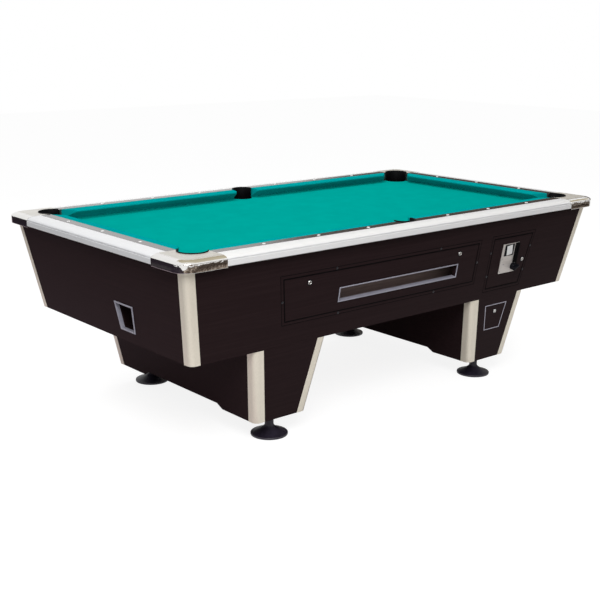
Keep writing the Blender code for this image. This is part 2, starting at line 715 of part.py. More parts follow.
def add_liners(table):
    for name, (sx, sy) in CORNERS.items():
        add_liner(table, name, (sx * CORNER_X, sy * CORNER_Y), math.atan2(-sy, -sx), POCKET_BORE, LIP_WIDTH)
    for side, sy in (("front", -1), ("back", 1)):
        centre = (0.0, sy * MIDDLE_Y)
        add_liner(table, f"{side}_middle", centre, math.atan2(-sy, 0.0), MIDDLE_BORE, MIDDLE_LIP)


# Cabinet
def panel_frame(out):
    """Frame of a cabinet panel, on its outer face at the middle of its lower edge."""
    if out.x:
        return leaning_frame(out, END_LEAN, out * cabinet_x(CABINET_BOTTOM) + UP * CABINET_BOTTOM)
    return leaning_frame(out, SIDE_LEAN, out * cabinet_y(CABINET_BOTTOM) + UP * CABINET_BOTTOM)


def add_panels(table):
    """The four cabinet panels, each with the ledger that carries the slate, open under a middle pocket."""
    ledger_short = max(POST_LEG, PANEL + LEDGER_WIDTH) + LEDGER_CLEAR
    ledger_bottom = LEDGER_TOP - LEDGER_HEIGHT
    panels = {}
    for side, out in SIDES.items():
        half = cabinet_y if out.x else cabinet_x
        low = half(CABINET_BOTTOM) - POST_LEG - TOUCH
        high = half(CABINET_TOP) - POST_LEG - TOUCH
        height = CABINET_TOP - CABINET_BOTTOM
        outline = [(-low, 0.0), (low, 0.0), (high, height), (-high, height)]
        board = moved(slab([outline], -PANEL, 0.0), panel_frame(out))
        panels[side] = table.add(f"panel_{side}", board, "laminate")
        reach = half(ledger_bottom) - ledger_short
        spans = [(-reach, reach)] if out.x else [(-reach, -MIDDLE_HOLE), (MIDDLE_HOLE, reach)]
        for start, end in spans:
            strip = rectangle(start, ledger_bottom - CABINET_BOTTOM, end, LEDGER_TOP - CABINET_BOTTOM)
            ledger = slab([strip], -PANEL - LEDGER_WIDTH, -PANEL + WELD)
            table.join(panels[side], moved(ledger, panel_frame(out)))
    return panels


def cut_door_frames(table, panel):
    """Openings for the two doors in the front panel, and the grooves round their frames."""
    for outline in (ball_outline, coin_outline):
        opening = slab([outline(FRAME_WIDTH)], -PANEL - THROUGH, THROUGH)
        table.cut(panel, opening, front_frame())
        groove = slab([outline(-GROOVE / 2), outline(GROOVE / 2)], -GROOVE_DEPTH, THROUGH)
        table.cut(panel, groove, front_frame())


def add_outlet(table, panel):
    """The cue-ball outlet in the left panel, with the cup behind it."""
    bottom = OUTLET_BOTTOM - CABINET_BOTTOM
    top = OUTLET_TOP - CABINET_BOTTOM
    left = OUTLET_CENTRE - OUTLET_WIDTH / 2
    right = OUTLET_CENTRE + OUTLET_WIDTH / 2
    hole = [(left, bottom), (right, bottom), (right + OUTLET_FLARE, top), (left - OUTLET_FLARE, top)]
    beyond = OUTLET_FLARE + CUP_MARGIN
    inside = rectangle(left - beyond, bottom - CUP_MARGIN, right + beyond, top + CUP_MARGIN)
    outside = rectangle(
        inside[0][0] - CUP_WALL, inside[0][1] - CUP_WALL, inside[2][0] + CUP_WALL, inside[2][1] + CUP_WALL
    )
    frame = panel_frame(LEFT)
    back = -PANEL - CUP_DEPTH
    table.join(panel, moved(slab([outside, inside], back, -PANEL + WELD), frame))
    table.join(panel, moved(slab([outside], back - CUP_WALL, back + WELD), frame))
    table.cut(panel, moved(slab([hole], -PANEL - THROUGH, THROUGH), frame))
    entry = rectangle(
        OUTLET_CENTRE - CUP_ENTRY / 2, top, OUTLET_CENTRE + CUP_ENTRY / 2, outside[2][1] + THROUGH
    )
    table.cut(panel, moved(slab([entry], back + CUP_WALL, back + CUP_WALL + CUP_ENTRY), frame))


def angle_section(corner, signs, leg, wall):
    """Plan of a corner trim, with a round outer corner, for a corner of two boards."""
    start = TRIM_ROUND - TRIM_PROUD
    inward = [(leg, -TRIM_PROUD)] + arc((start, start), TRIM_ROUND, 270, 180, 6)
    inward += [(-TRIM_PROUD, leg), (wall, leg), (wall, wall), (leg, wall)]
    return [(corner[0] - signs[0] * u, corner[1] - signs[1] * v) for u, v in inward]


def angle_cutter(corner, signs, leg, wall):
    """Plan of the space for a corner trim."""
    far = leg + TOUCH
    near = wall + TOUCH
    inward = [(far, -THROUGH), (-THROUGH, -THROUGH), (-THROUGH, far), (near, far), (near, near), (far, near)]
    return [(corner[0] - signs[0] * u, corner[1] - signs[1] * v) for u, v in inward]


def leaning_prism(outline, lean, low, high, past=0.0):
    """Mesh of a plan at a height, carried up along a leaning line, and past both ends if need be."""
    mesh = slab([outline], -past, high - low + past)
    return moved(mesh, columns(RIGHT, BACK, Vector((*lean, 1.0)), UP * low))


def add_cabinet_trims(table):
    for name, (sx, sy) in CORNERS.items():
        corner = (sx * cabinet_x(CABINET_BOTTOM), sy * cabinet_y(CABINET_BOTTOM))
        section = angle_section(corner, (sx, sy), POST_LEG, PANEL)
        lean = (sx * END_LEAN, sy * SIDE_LEAN)
        table.add(f"cabinet_trim_{name}", leaning_prism(section, lean, CABINET_BOTTOM, CABINET_TOP), "trim")


def cash_box_place():
    """Middle along the table and front across it of the cash box."""
    (left, _), (right, _), _, _ = cash_outline()
    return (left + right) / 2, -cabinet_y(FLOOR_TOP) + PEDESTAL_WALL + CASH_BOX_SETBACK


def add_base_board(table):
    rows = []
    for height in (CABINET_BOTTOM, BASE_TOP):
        x = cabinet_x(height) - PANEL - TOUCH
        y = cabinet_y(height) - PANEL - TOUCH
        rows += [height, (-x, x), (-y, y)]
    board = table.add("base_board", frustum(*rows), "plywood")
    x, front = cash_box_place()
    y = front + COIN_DROP_SETBACK
    drop = rectangle(
        x - COIN_DROP_LENGTH / 2, y - COIN_DROP_WIDTH / 2, x + COIN_DROP_LENGTH / 2, y + COIN_DROP_WIDTH / 2
    )
    table.cut(board, slab([drop], CABINET_BOTTOM - THROUGH, BASE_TOP + THROUGH))


# Pedestals and feet
def pedestal_solid(side, low, high, inset):
    """Mesh of a pedestal's outline between two heights, drawn in all round by the inset."""
    rows = []
    for height in (low, high):
        inner, outer = pedestal_x(height)
        y = cabinet_y(height) - inset
        rows += [height, sorted((side * (inner + inset), side * (outer - inset))), (-y, y)]
    return frustum(*rows)


def foot_places(side):
    inner, outer = pedestal_x(PEDESTAL_BOTTOM)
    y = cabinet_y(PEDESTAL_BOTTOM) - FOOT_INSET
    return {"front": (side * (inner + outer) / 2, -y), "back": (side * (inner + outer) / 2, y)}


def kick_outline():
    """Cut-out under a pedestal's end boards, in Y and Z."""
    wide = KICK_HALF + KICK_RAMP
    top = PEDESTAL_BOTTOM + KICK_HEIGHT
    return [
        (-wide, PEDESTAL_BOTTOM - THROUGH),
        (wide, PEDESTAL_BOTTOM - THROUGH),
        (wide, PEDESTAL_BOTTOM),
        (KICK_HALF, top),
        (-KICK_HALF, top),
        (-wide, PEDESTAL_BOTTOM),
    ]


def add_pedestal(table, name, side):
    pedestal = table.add(
        f"pedestal_{name}", pedestal_solid(side, PEDESTAL_BOTTOM, PEDESTAL_TOP, 0.0), "laminate"
    )
    table.cut(pedestal, pedestal_solid(side, FLOOR_TOP, PEDESTAL_TOP + THROUGH, PEDESTAL_WALL))
    table.cut(pedestal, pedestal_solid(side, PEDESTAL_BOTTOM - THROUGH, FLOOR_BOTTOM, PEDESTAL_WALL))
    inner_top, outer_top = pedestal_x(PEDESTAL_TOP)
    ends = sorted((side * (inner_top - THROUGH), side * (outer_top + THROUGH)))
    table.cut(pedestal, slab([kick_outline()], *ends), ACROSS_FRAME)
    inner, outer = pedestal_x(PEDESTAL_BOTTOM)
    corners = {"inner": (inner, -side, INNER_LEAN), "outer": (outer, side, OUTER_LEAN)}
    for face, (x, sx, x_lean) in corners.items():
        for end, sy in (("front", -1), ("back", 1)):
            corner = (side * x, sy * cabinet_y(PEDESTAL_BOTTOM))
            lean = (sx * x_lean, sy * SIDE_LEAN)
            space = angle_cutter(corner, (sx, sy), TRIM_LEG, PEDESTAL_WALL)
            table.cut(pedestal, leaning_prism(space, lean, PEDESTAL_BOTTOM, PEDESTAL_TOP, THROUGH))
            section = angle_section(corner, (sx, sy), TRIM_LEG, PEDESTAL_WALL)
            trim = leaning_prism(section, lean, PEDESTAL_BOTTOM, PEDESTAL_TOP)
            table.add(f"pedestal_trim_{name}_{face}_{end}", trim, "trim")
    for end, (x, y) in foot_places(side).items():
        hole = round_bar(SCREW_RADIUS + TOUCH, FLOOR_BOTTOM - THROUGH, FLOOR_TOP + THROUGH)
        table.cut(pedestal, hole, Matrix.Translation((x, y, 0.0)))
        add_foot(table, f"foot_{name}_{end}", x, y)
    return pedestal


def add_foot(table, name, x, y):
    """A levelling foot: a wide disc, a hollow cone, a neck and a screw into the pedestal."""
    cone_wide = FOOT_RADIUS - FOOT_SHOULDER
    cone = []
    for px, pz in arc((cone_wide, FOOT_CONE), 1.0, 180, 270, 8):
        across = (px - cone_wide) * (cone_wide - FOOT_NECK)
        down = (pz - FOOT_CONE) * (FOOT_CONE - FOOT_RIM)
        cone.append((cone_wide + across, FOOT_CONE + down))
    screw_top = FLOOR_TOP - SCREW_SHORT
    neck_top = FLOOR_BOTTOM - TOUCH
    profile = [(0.0, screw_top), (SCREW_RADIUS, screw_top), (SCREW_RADIUS, neck_top), (FOOT_NECK, neck_top)]
    profile += cone
    profile += [
        (FOOT_RADIUS, FOOT_RIM - FOOT_CHAMFER / 2),
        (FOOT_RADIUS, FOOT_CHAMFER),
        (FOOT_RADIUS - FOOT_CHAMFER, 0.0),
        (0.0, 0.0),
    ]
    table.turned(name, profile, "foot", Matrix.Translation((x, y, 0.0)))


# Doors, locks and coin mechanism
def add_door(table, name, opening, hinge, thickness):
    """A door in the front face, with its origin on the hinge, at its lower left corner."""
    corners = door_from(opening, hinge)
    outline = shifted(corners, *corners[0])
    return table.add(name, slab([outline], -thickness, 0.0), "laminate", on_front(*corners[0])), corners


def add_lock(table, name, door, x, up, board, turn):
    """A cam lock through a door; turn is its cam's angle, and board the thickness that the cam clears."""
    cam_top = -board - CAM_CLEARANCE
    cam_bottom = cam_top - CAM_THICKNESS
    profile = [
        (0.0, LOCK_PROUD),
        (LOCK_FLANGE, LOCK_PROUD),
        (LOCK_FLANGE, TOUCH),
        (LOCK_RADIUS, TOUCH),
        (LOCK_RADIUS, cam_bottom),
        (0.0, cam_bottom),
    ]
    place = on_front(x, up) @ Matrix.Rotation(math.radians(turn), 4, "Z")
    lock = table.turned(name, profile, "lock", place, steps=24)
    cam = block((-CAM_WIDTH / 2, -CAM_WIDTH / 2, cam_bottom - WELD / 2), (CAM_LENGTH, CAM_WIDTH / 2, cam_top))
    table.join(lock, cam, place)
    table.cut(door, round_bar(LOCK_RADIUS + TOUCH, -board - THROUGH, THROUGH, sides=24), on_front(x, up))
    carry(lock, door)


def add_ball_door(table):
    door, corners = add_door(table, "ball_door", ball_outline(FRAME_WIDTH), "bottom", DOOR_THICKNESS)
    (left, _), (right, _), (_, top), _ = corners
    window = rectangle(left + WINDOW_LEFT, along(WINDOW_BOTTOM), right - WINDOW_RIGHT, along(WINDOW_TOP))
    table.cut(door, slab([window], -DOOR_THICKNESS - THROUGH, THROUGH), front_frame())
    up = top - BALL_LOCK_DROP
    left_edge = left - EDGE_LEAN * (up - corners[0][1])
    board = PANEL / FACE_LENGTH
    add_lock(table, "ball_door_lock_left", door, left_edge + BALL_LOCK_LEFT, up, board, 0)
    add_lock(table, "ball_door_lock_right", door, right - BALL_LOCK_RIGHT, up, board, 0)


def add_coin_door(table):
    door, corners = add_door(table, "coin_door", coin_outline(FRAME_WIDTH), "left", DOOR_THICKNESS)
    (left, bottom), (right, _), _, _ = corners
    plate = rectangle(left + MECH_LEFT, along(MECH_BOTTOM), left + MECH_LEFT + MECH_WIDTH, along(MECH_TOP))
    (plate_left, plate_bottom), _, (plate_right, plate_top), _ = plate
    body = rectangle(
        plate_left + MECH_RIM, plate_bottom + MECH_RIM, plate_right - MECH_RIM, plate_top - MECH_RIM
    )
    space = rectangle(
        body[0][0] - MECH_FIT, body[0][1] - MECH_FIT, body[2][0] + MECH_FIT, body[2][1] + MECH_FIT
    )
    table.cut(door, slab([space], -DOOR_THICKNESS - THROUGH, THROUGH), front_frame())
    mech = table.add("coin_mech", slab([plate], TOUCH, MECH_PLATE), "steel", front_frame())
    table.join(mech, slab([body], -MECH_DEPTH, (TOUCH + MECH_PLATE) / 2), front_frame())
    knob_x = plate_right - KNOB_RIGHT
    knob_up = plate_bottom + KNOB_UP
    slot_top = plate_top - COIN_SLOT_DROP
    slot = rectangle(
        knob_x - COIN_SLOT_WIDTH / 2, slot_top - COIN_SLOT_HEIGHT, knob_x + COIN_SLOT_WIDTH / 2, slot_top
    )
    table.cut(mech, slab([slot], -COIN_SLOT_DEPTH, THROUGH), front_frame())
    shaft = round_bar(KNOB_SHAFT + TOUCH, -KNOB_SHAFT_LENGTH - TOUCH, THROUGH, sides=16)
    table.cut(mech, shaft, on_front(knob_x, knob_up))
    carry(mech, door)
    add_knob(table, door, knob_x, knob_up)
    up = bottom + COIN_LOCK_UP
    right_edge = right + EDGE_LEAN * COIN_LOCK_UP
    add_lock(table, "coin_door_lock", door, right_edge - COIN_LOCK_RIGHT, up, PANEL / FACE_LENGTH, -90)


def add_knob(table, door, x, up):
    base = MECH_PLATE + TOUCH
    top = base + KNOB_LENGTH
    profile = [
        (0.0, top),
        (KNOB_RADIUS - KNOB_CHAMFER, top),
        (KNOB_RADIUS, top - KNOB_CHAMFER),
        (KNOB_RADIUS, base),
        (KNOB_SHAFT, base),
        (KNOB_SHAFT, -KNOB_SHAFT_LENGTH),
        (0.0, -KNOB_SHAFT_LENGTH),
    ]
    place = on_front(x, up)
    knob = table.turned("coin_knob", profile, "knob", place, steps=32)
    half = KNOB_RADIUS - KNOB_CHAMFER
    grip = block((-GRIP_WIDTH / 2, -half, top - WELD), (GRIP_WIDTH / 2, half, top + GRIP_HEIGHT))
    table.join(knob, grip, place)
    carry(knob, door)


def add_cash_door(table, pedestal):
    opening = cash_outline()
    table.cut(pedestal, slab([opening], -PEDESTAL_WALL - THROUGH, THROUGH), front_frame())
    door, corners = add_door(table, "cash_door", opening, "bottom", CASH_DOOR_THICKNESS)
    top_left, top_right = corners[3], corners[2]
    up = top_left[1] - CASH_LOCK_DROP
    board = PEDESTAL_WALL / FACE_LENGTH
    add_lock(table, "cash_door_lock", door, (top_left[0] + top_right[0]) / 2, up, board, 0)


def add_cash_box(table):
    x, front = cash_box_place()
    low = FLOOR_TOP + TOUCH
    left = x - CASH_BOX_LENGTH / 2
    right = x + CASH_BOX_LENGTH / 2
    back = front + CASH_BOX_WIDTH
    top = low + CASH_BOX_HEIGHT
    wall = CASH_BOX_WALL
    box = table.add("cash_box", block((left, front, low), (right, back, top)), "steel")
    inside = block((left + wall, front + wall, low + wall), (right - wall, back - wall, top + THROUGH))
    table.cut(box, inside)


# Ball run
def run_reach():
    """Half the ball run's size along and across the table."""
    bottom = GUTTER_FRONT - GUTTER_BED - RUN_BOARD
    x = cabinet_x(PAN_HIGH - RUN_BOARD) - PANEL - RUN_INSET
    return x, cabinet_y(bottom) - PANEL - RUN_INSET


def gutter_walls():
    left = coin_frame_left() - GUTTER_BEFORE_COIN
    return left, left + GUTTER_WIDTH


def pan_height(x):
    """Height of the sloping pans' upper face."""
    end, _ = run_reach()
    left, right = gutter_walls()
    share = (left - x) / (left + end) if x < left else (x - right) / (end - right)
    return PAN_LOW + (PAN_HIGH - PAN_LOW) * share


def gutter_height(y):
    """Height of the gutter's sloping floor."""
    _, reach = run_reach()
    return GUTTER_FRONT + (GUTTER_BACK - GUTTER_FRONT) * (y + reach) / (2 * reach)


def run_profile():
    """Section of the two pans and the gutter between them, in X and Z."""
    end, _ = run_reach()
    left, right = gutter_walls()
    bed = GUTTER_FRONT - GUTTER_BED
    over = [(-end, PAN_HIGH), (left, PAN_LOW), (left, bed), (right, bed), (right, PAN_LOW), (end, PAN_HIGH)]
    board = RUN_BOARD
    under = [
        (end, PAN_HIGH - board),
        (right + board, PAN_LOW - board),
        (right + board, bed - board),
        (left - board, bed - board),
        (left - board, PAN_LOW - board),
        (-end, PAN_HIGH - board),
    ]
    return over + under


def add_ball_run(table):
    _, reach = run_reach()
    left, right = gutter_walls()
    run = table.add("ball_run", moved(slab([run_profile()], -reach, reach), ALONG_FRAME), "plywood")
    bed = GUTTER_FRONT - GUTTER_BED - WELD
    end = reach - WELD
    floor = [(-end, bed), (end, bed), (end, gutter_height(end)), (-end, gutter_height(-end))]
    table.join(run, slab([floor], left - WELD, right + WELD), ACROSS_FRAME)
    add_tray(table, run)
    for x in (-RUN_LEG_SPREAD, RUN_LEG_SPREAD):
        for y in (-RUN_LEG_REACH, RUN_LEG_REACH):
            inner = x - math.copysign(RUN_LEG / 2, x)
            add_run_leg(table, run, x, y, pan_height(inner) - RUN_BOARD + WELD)
    drop_front = -reach + DROP_EDGE
    hole = rectangle(left + DROP_LEDGE, drop_front, right - DROP_LEDGE, drop_front + DROP_WIDTH)
    table.cut(run, slab([hole], bed - RUN_BOARD - THROUGH, PAN_LOW))
    gate_y = drop_front + DROP_WIDTH + GATE_SETBACK
    low = gutter_height(gate_y + GATE_THICKNESS) + TOUCH
    gate = block(
        (left + TOUCH, gate_y, low), (right - TOUCH, gate_y + GATE_THICKNESS, low + GATE_HEIGHT)
    )
    table.add("release_gate", gate, "steel")


def add_run_leg(table, run, x, y, top):
    half = RUN_LEG / 2
    table.join(run, block((x - half, y - half, BASE_TOP + TOUCH), (x + half, y + half, top)))


def add_tray(table, run):
    """The tray behind the window, under the gutter's front end."""
    _, gutter_right = gutter_walls()
    corners = door_from(ball_outline(FRAME_WIDTH), "bottom")
    left = corners[0][0] + WINDOW_LEFT - TRAY_BEYOND_WINDOW
    right = gutter_right + RUN_BOARD
    under = TRAY_FLOOR - RUN_BOARD
    front = -cabinet_y(under) + PANEL + TRAY_SETBACK
    back = front + TRAY_WIDTH
    wall_top = GUTTER_FRONT - GUTTER_BED - RUN_BOARD + WELD
    lip_top = TRAY_FLOOR + TRAY_LIP
    section = [
        (front, under),
        (back, under),
        (back, wall_top),
        (back - RUN_BOARD, wall_top),
        (back - RUN_BOARD, TRAY_FLOOR),
        (front + RUN_BOARD, TRAY_FLOOR),
        (front + RUN_BOARD, lip_top),
        (front, lip_top),
    ]
    table.join(run, slab([section], left, right), ACROSS_FRAME)
    inside = rectangle(front + WELD, under + WELD, back - WELD, lip_top - WELD)
    for x in (left + WELD, right - WELD - RUN_BOARD):
        table.join(run, slab([inside], x, x + RUN_BOARD), ACROSS_FRAME)
    for x in (left + RUN_LEG, 0.0):
        add_run_leg(table, run, x, (front + back) / 2, under + WELD)


def main():
    clear_scene()
    table = Table()
    add_slate(table)
    add_cushions(table)
    add_rails(table)
    add_castings(table)
    add_liners(table)
    panels = add_panels(table)
    cut_door_frames(table, panels["front"])
    add_outlet(table, panels["left"])
    add_cabinet_trims(table)
    add_base_board(table)
    add_pedestal(table, "left", -1)
    right_pedestal = add_pedestal(table, "right", 1)
    add_ball_door(table)
    add_coin_door(table)
    add_cash_door(table, right_pedestal)
    add_cash_box(table)
    add_ball_run(table)


main()
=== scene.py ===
import json
from math import atan2, cos, degrees, pi, radians, sin

import bmesh
import bpy
from mathutils import Matrix, Vector


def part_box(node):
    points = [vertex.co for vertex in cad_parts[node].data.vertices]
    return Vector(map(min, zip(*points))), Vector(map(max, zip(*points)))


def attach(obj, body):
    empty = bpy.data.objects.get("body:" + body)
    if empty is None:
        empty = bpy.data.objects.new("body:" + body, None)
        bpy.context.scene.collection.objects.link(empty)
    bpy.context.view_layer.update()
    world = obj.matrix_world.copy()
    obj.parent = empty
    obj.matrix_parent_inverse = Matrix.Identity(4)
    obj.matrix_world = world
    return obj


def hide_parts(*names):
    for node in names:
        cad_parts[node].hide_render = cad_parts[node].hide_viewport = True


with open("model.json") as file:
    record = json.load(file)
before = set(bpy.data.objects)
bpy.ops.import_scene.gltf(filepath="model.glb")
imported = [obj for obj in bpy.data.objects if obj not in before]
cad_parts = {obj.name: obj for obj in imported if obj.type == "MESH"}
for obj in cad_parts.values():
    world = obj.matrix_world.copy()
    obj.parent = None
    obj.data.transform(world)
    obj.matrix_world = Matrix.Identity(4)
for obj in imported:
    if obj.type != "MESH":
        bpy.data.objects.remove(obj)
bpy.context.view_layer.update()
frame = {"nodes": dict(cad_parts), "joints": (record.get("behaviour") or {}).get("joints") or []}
nodes = frame["nodes"]
pivots = {joint["child"]: Vector(joint["pos_m"]) for joint in frame["joints"] if "pos_m" in joint}

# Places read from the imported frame
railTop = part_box("rail_front")[1].z
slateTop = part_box("slate_bed")[1].z
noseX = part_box("cushion_right_end")[0].x
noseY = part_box("cushion_back_left")[0].y
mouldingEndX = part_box("moulding_back")[1].x
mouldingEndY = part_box("moulding_right")[1].y
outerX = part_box("moulding_right")[1].x
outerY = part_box("moulding_back")[1].y

# Six pockets and four corners: end, hand and the signs of x and y
ends, hands = {"front": -1, "back": 1}, {"left": -1, "middle": 0, "right": 1}
pockets = [(end, hand, hands[hand], ends[end]) for end in ends for hand in hands]
corners = [pocket for pocket in pockets if pocket[1] != "middle"]
pocketOut = {"corner": 0.015, "middle": 0.041}  # from the cushion noses to the pocket centres
cornerPocket = Vector((noseX + pocketOut["corner"], noseY + pocketOut["corner"]))
middlePocket = Vector((0, noseY + pocketOut["middle"]))

# Half sizes at the cabinet's lower edge, and how far its faces lean out for each metre of height
cabinet = {"low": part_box("panel_front")[0].z, "high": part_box("panel_front")[1].z,
           "halfX": 1.0493, "halfY": 0.5510, "leanX": 0.1736, "leanY": 0.1828}

hair = 0.0001  # lifts a piece off its neighbour, and picks points by their place
weld = 0.00001  # points closer than this are merged
cutSpare = 0.01  # how far a cutter reaches past what it cuts


def pocketSpot(signX, signY, height):
    centre = cornerPocket if signX else middlePocket
    return Vector((signX * centre.x, signY * centre.y, height))


def at(spot):
    return Matrix.Translation(spot)


def turnZ(angle):
    return Matrix.Rotation(radians(angle), 4, "Z")


# x runs along the face, y up along its slope, z out of it
def leaningFace(origin, right, lean, outward):
    up = (Vector((0, 0, 1)) + Vector(outward) * lean).normalized()
    out = Vector(right).cross(up)
    turn = Matrix((right, up, out)).transposed().to_4x4()
    return at(origin) @ turn


frontFace = leaningFace((0, -cabinet["halfY"], cabinet["low"]), (1, 0, 0), cabinet["leanY"], (0, -1, 0))
leftFace = leaningFace((-cabinet["halfX"], 0, cabinet["low"]), (0, -1, 0), cabinet["leanX"], (-1, 0, 0))
frontTurn = frontFace.to_3x3().to_4x4()


def upFace(height, face=frontFace):
    return (height - cabinet["low"]) / face.col[1].z


# Modelling helpers

def deselect():
    bpy.ops.object.select_all(action="DESELECT")


def only(piece):
    deselect()
    piece.select_set(True)
    bpy.context.view_layer.objects.active = piece


def edit(piece):
    only(piece)
    bpy.ops.object.mode_set(mode="EDIT")
    bpy.ops.mesh.select_all(action="SELECT")
    return piece


def pull(step):
    bpy.ops.mesh.extrude_region_move(TRANSFORM_OT_translate={"value": step})


# A plane is merged to one point, and the outline is drawn on from it
def drawOutline(points, close=True):
    deselect()
    bpy.ops.mesh.primitive_plane_add()
    piece = edit(bpy.context.object)
    bpy.ops.mesh.select_mode(type="VERT")
    bpy.ops.mesh.merge(type="CENTER")
    bpy.ops.transform.translate(value=points[0])
    for last, point in zip(points, points[1:]):
        pull(Vector(point) - Vector(last))
    bpy.ops.mesh.select_all(action="SELECT")
    if close:
        bpy.ops.mesh.edge_face_add()
    return piece


def closeShape():
    bpy.ops.mesh.select_all(action="SELECT")
    bpy.ops.mesh.remove_doubles(threshold=weld)
    bpy.ops.mesh.normals_make_consistent(inside=False)
    bpy.ops.object.mode_set(mode="OBJECT")


def solid(points, step):
    piece = drawOutline(points)
    pull(step)
    closeShape()
    return piece


def pickEdges(piece, test):
    bpy.ops.mesh.select_mode(type="EDGE")
    bpy.ops.mesh.select_all(action="DESELECT")
    shape = bmesh.from_edit_mesh(piece.data)
    for edge in shape.edges:
        if test(edge.verts[0].co, edge.verts[1].co):
            edge.select = True
    shape.select_flush_mode()
    bmesh.update_edit_mesh(piece.data)


def roundPicked(width, steps):
    bpy.ops.mesh.bevel(offset=width, segments=steps, profile=0.5, affect="EDGES")


def change(piece, kind, **settings):
    only(piece)
    modifier = piece.modifiers.new(kind.title(), kind)
    for key, value in settings.items():
        setattr(modifier, key, value)
    bpy.ops.object.modifier_apply(modifier=modifier.name)
    return piece


def softEdges(piece, width, steps=2, angle=40):
    limit = radians(angle)
    return change(piece, "BEVEL", width=width, segments=steps, limit_method="ANGLE", angle_limit=limit)


def discard(*pieces):
    for piece in pieces:
        bpy.data.objects.remove(piece)


def cutAway(piece, cutter):
    change(piece, "BOOLEAN", operation="DIFFERENCE", solver="EXACT", object=cutter)
    discard(cutter)
    return piece


# A mirrored copy comes out inside out, so its faces are turned outwards again
def place(piece, matrix):
    only(piece)
    piece.matrix_world = matrix
    bpy.ops.object.transform_apply(location=True, rotation=True, scale=True)
    if matrix.determinant() < 0:
        edit(piece)
        closeShape()
    return piece


def copyTo(piece, matrix):
    only(piece)
    bpy.ops.object.duplicate()
    return place(bpy.context.object, matrix)


def block(low, high):
    deselect()
    bpy.ops.mesh.primitive_cube_add(size=1)
    piece = edit(bpy.context.object)
    bpy.ops.transform.resize(value=Vector(high) - Vector(low), center_override=(0, 0, 0))
    bpy.ops.transform.translate(value=(Vector(high) + Vector(low)) / 2)
    bpy.ops.object.mode_set(mode="OBJECT")
    return piece


def rod(spot, radius, depth, sides):
    deselect()
    bpy.ops.mesh.primitive_cylinder_add(vertices=sides, radius=radius, depth=depth, location=spot)
    return bpy.context.object


def turned(points, sides):
    piece = drawOutline([(radius, 0, height) for radius, height in points], close=False)
    bpy.ops.mesh.spin(steps=sides, angle=2 * pi, center=(0, 0, 0), axis=(0, 0, 1))
    closeShape()
    return piece


def stepped(radius, height, steps):
    return [(radius + out, height + up) for out, up in steps]


def domed(radius, rise, shares):
    return [(radius * out, rise * up) for out, up in shares]


def arcPoints(centre, radius, start, end, steps):
    points = []
    for step in range(steps + 1):
        angle = radians(start + (end - start) * step / steps)
        points.append((centre[0] + radius * cos(angle), centre[1] + radius * sin(angle)))
    return points


def joined(first, *others):
    only(first)
    for other in others:
        other.select_set(True)
    bpy.ops.object.join()
    return first


def dress(piece, name, look, angle=35, body="table_frame", replaced=None):
    only(piece)
    piece.name = name
    piece.data.name = name
    bpy.ops.object.shade_smooth_by_angle(angle=radians(angle))
    piece.data.materials.clear()
    piece.data.materials.append(finish[look])
    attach(piece, body)
    if replaced:
        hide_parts(replaced)
    return piece


# Material helpers

finish = {}  # every material by its name
even = (1, 1, 1)
noiseSpread = (0.3, 0.7)  # most of a noise lies between these


def shaderOf(material):
    return material.node_tree.nodes["Principled BSDF"]


def newMaterial(name, base, rough, metallic=0.0, specular=0.5):
    material = bpy.data.materials.new(name)
    material.use_nodes = True
    values = {"Base Color": (*base, 1), "Roughness": rough, "Metallic": metallic,
              "Specular IOR Level": specular}
    for key, value in values.items():
        shaderOf(material).inputs[key].default_value = value
    finish[name] = material
    return material


def addNode(material, kind, **values):
    node = material.node_tree.nodes.new(kind)
    for key, value in values.items():
        if key in node.inputs:
            node.inputs[key].default_value = value
        else:
            setattr(node, key, value)
    return node


def link(start, end):
    start.id_data.links.new(start, end)


# A value is a number, or the output of another node
def maths(material, operation, *values):
    node = addNode(material, "ShaderNodeMath", operation=operation)
    for socket, value in zip(node.inputs, values):
        if isinstance(value, (int, float)):
            socket.default_value = value
        else:
            link(value, socket)
    return node.outputs[0]


def remap(material, value, start, end, low=0.0, high=1.0, kind="LINEAR"):
    limits = {"From Min": start, "From Max": end, "To Min": low, "To Max": high}
    node = addNode(material, "ShaderNodeMapRange", interpolation_type=kind, **limits)
    link(value, node.inputs["Value"])
    return node.outputs["Result"]


def softStep(material, value, start, end):
    return remap(material, value, start, end, kind="SMOOTHSTEP")


def noise(material, stretch, scale=1.0, detail=4.0, rough=0.55):
    spot = addNode(material, "ShaderNodeTexCoord")
    mapping = addNode(material, "ShaderNodeMapping", Scale=stretch)
    texture = addNode(material, "ShaderNodeTexNoise", Scale=scale, Detail=detail, Roughness=rough)
    link(spot.outputs["Object"], mapping.inputs["Vector"])
    link(mapping.outputs["Vector"], texture.inputs["Vector"])
    return texture.outputs["Fac"]


def ramp(material, value, stops):
    node = addNode(material, "ShaderNodeValToRGB")
    while len(node.color_ramp.elements) < len(stops):
        node.color_ramp.elements.new(0.5)
    for element, (position, colour) in zip(node.color_ramp.elements, stops):
        element.position = position
        element.color = (*colour, 1)
    link(value, node.inputs["Fac"])
    return node.outputs["Color"]


def colourBy(material, value, stops):
    link(ramp(material, value, stops), shaderOf(material).inputs["Base Color"])


def twoTones(material, value, low, high, spread=noiseSpread):
    colourBy(material, value, list(zip(spread, (low, high))))


def roughBy(material, value, low, high):
    link(remap(material, value, *noiseSpread, low, high), shaderOf(material).inputs["Roughness"])


def bumpBy(material, value, strength, lift):
    bump = addNode(material, "ShaderNodeBump", Strength=strength, Distance=lift)
    link(value, bump.inputs["Height"])
    link(bump.outputs["Normal"], shaderOf(material).inputs["Normal"])


# Finishes

cloth = {"rough": 0.95, "patches": 14, "nap": 900, "napStrength": 0.25, "napLift": 0.0006}


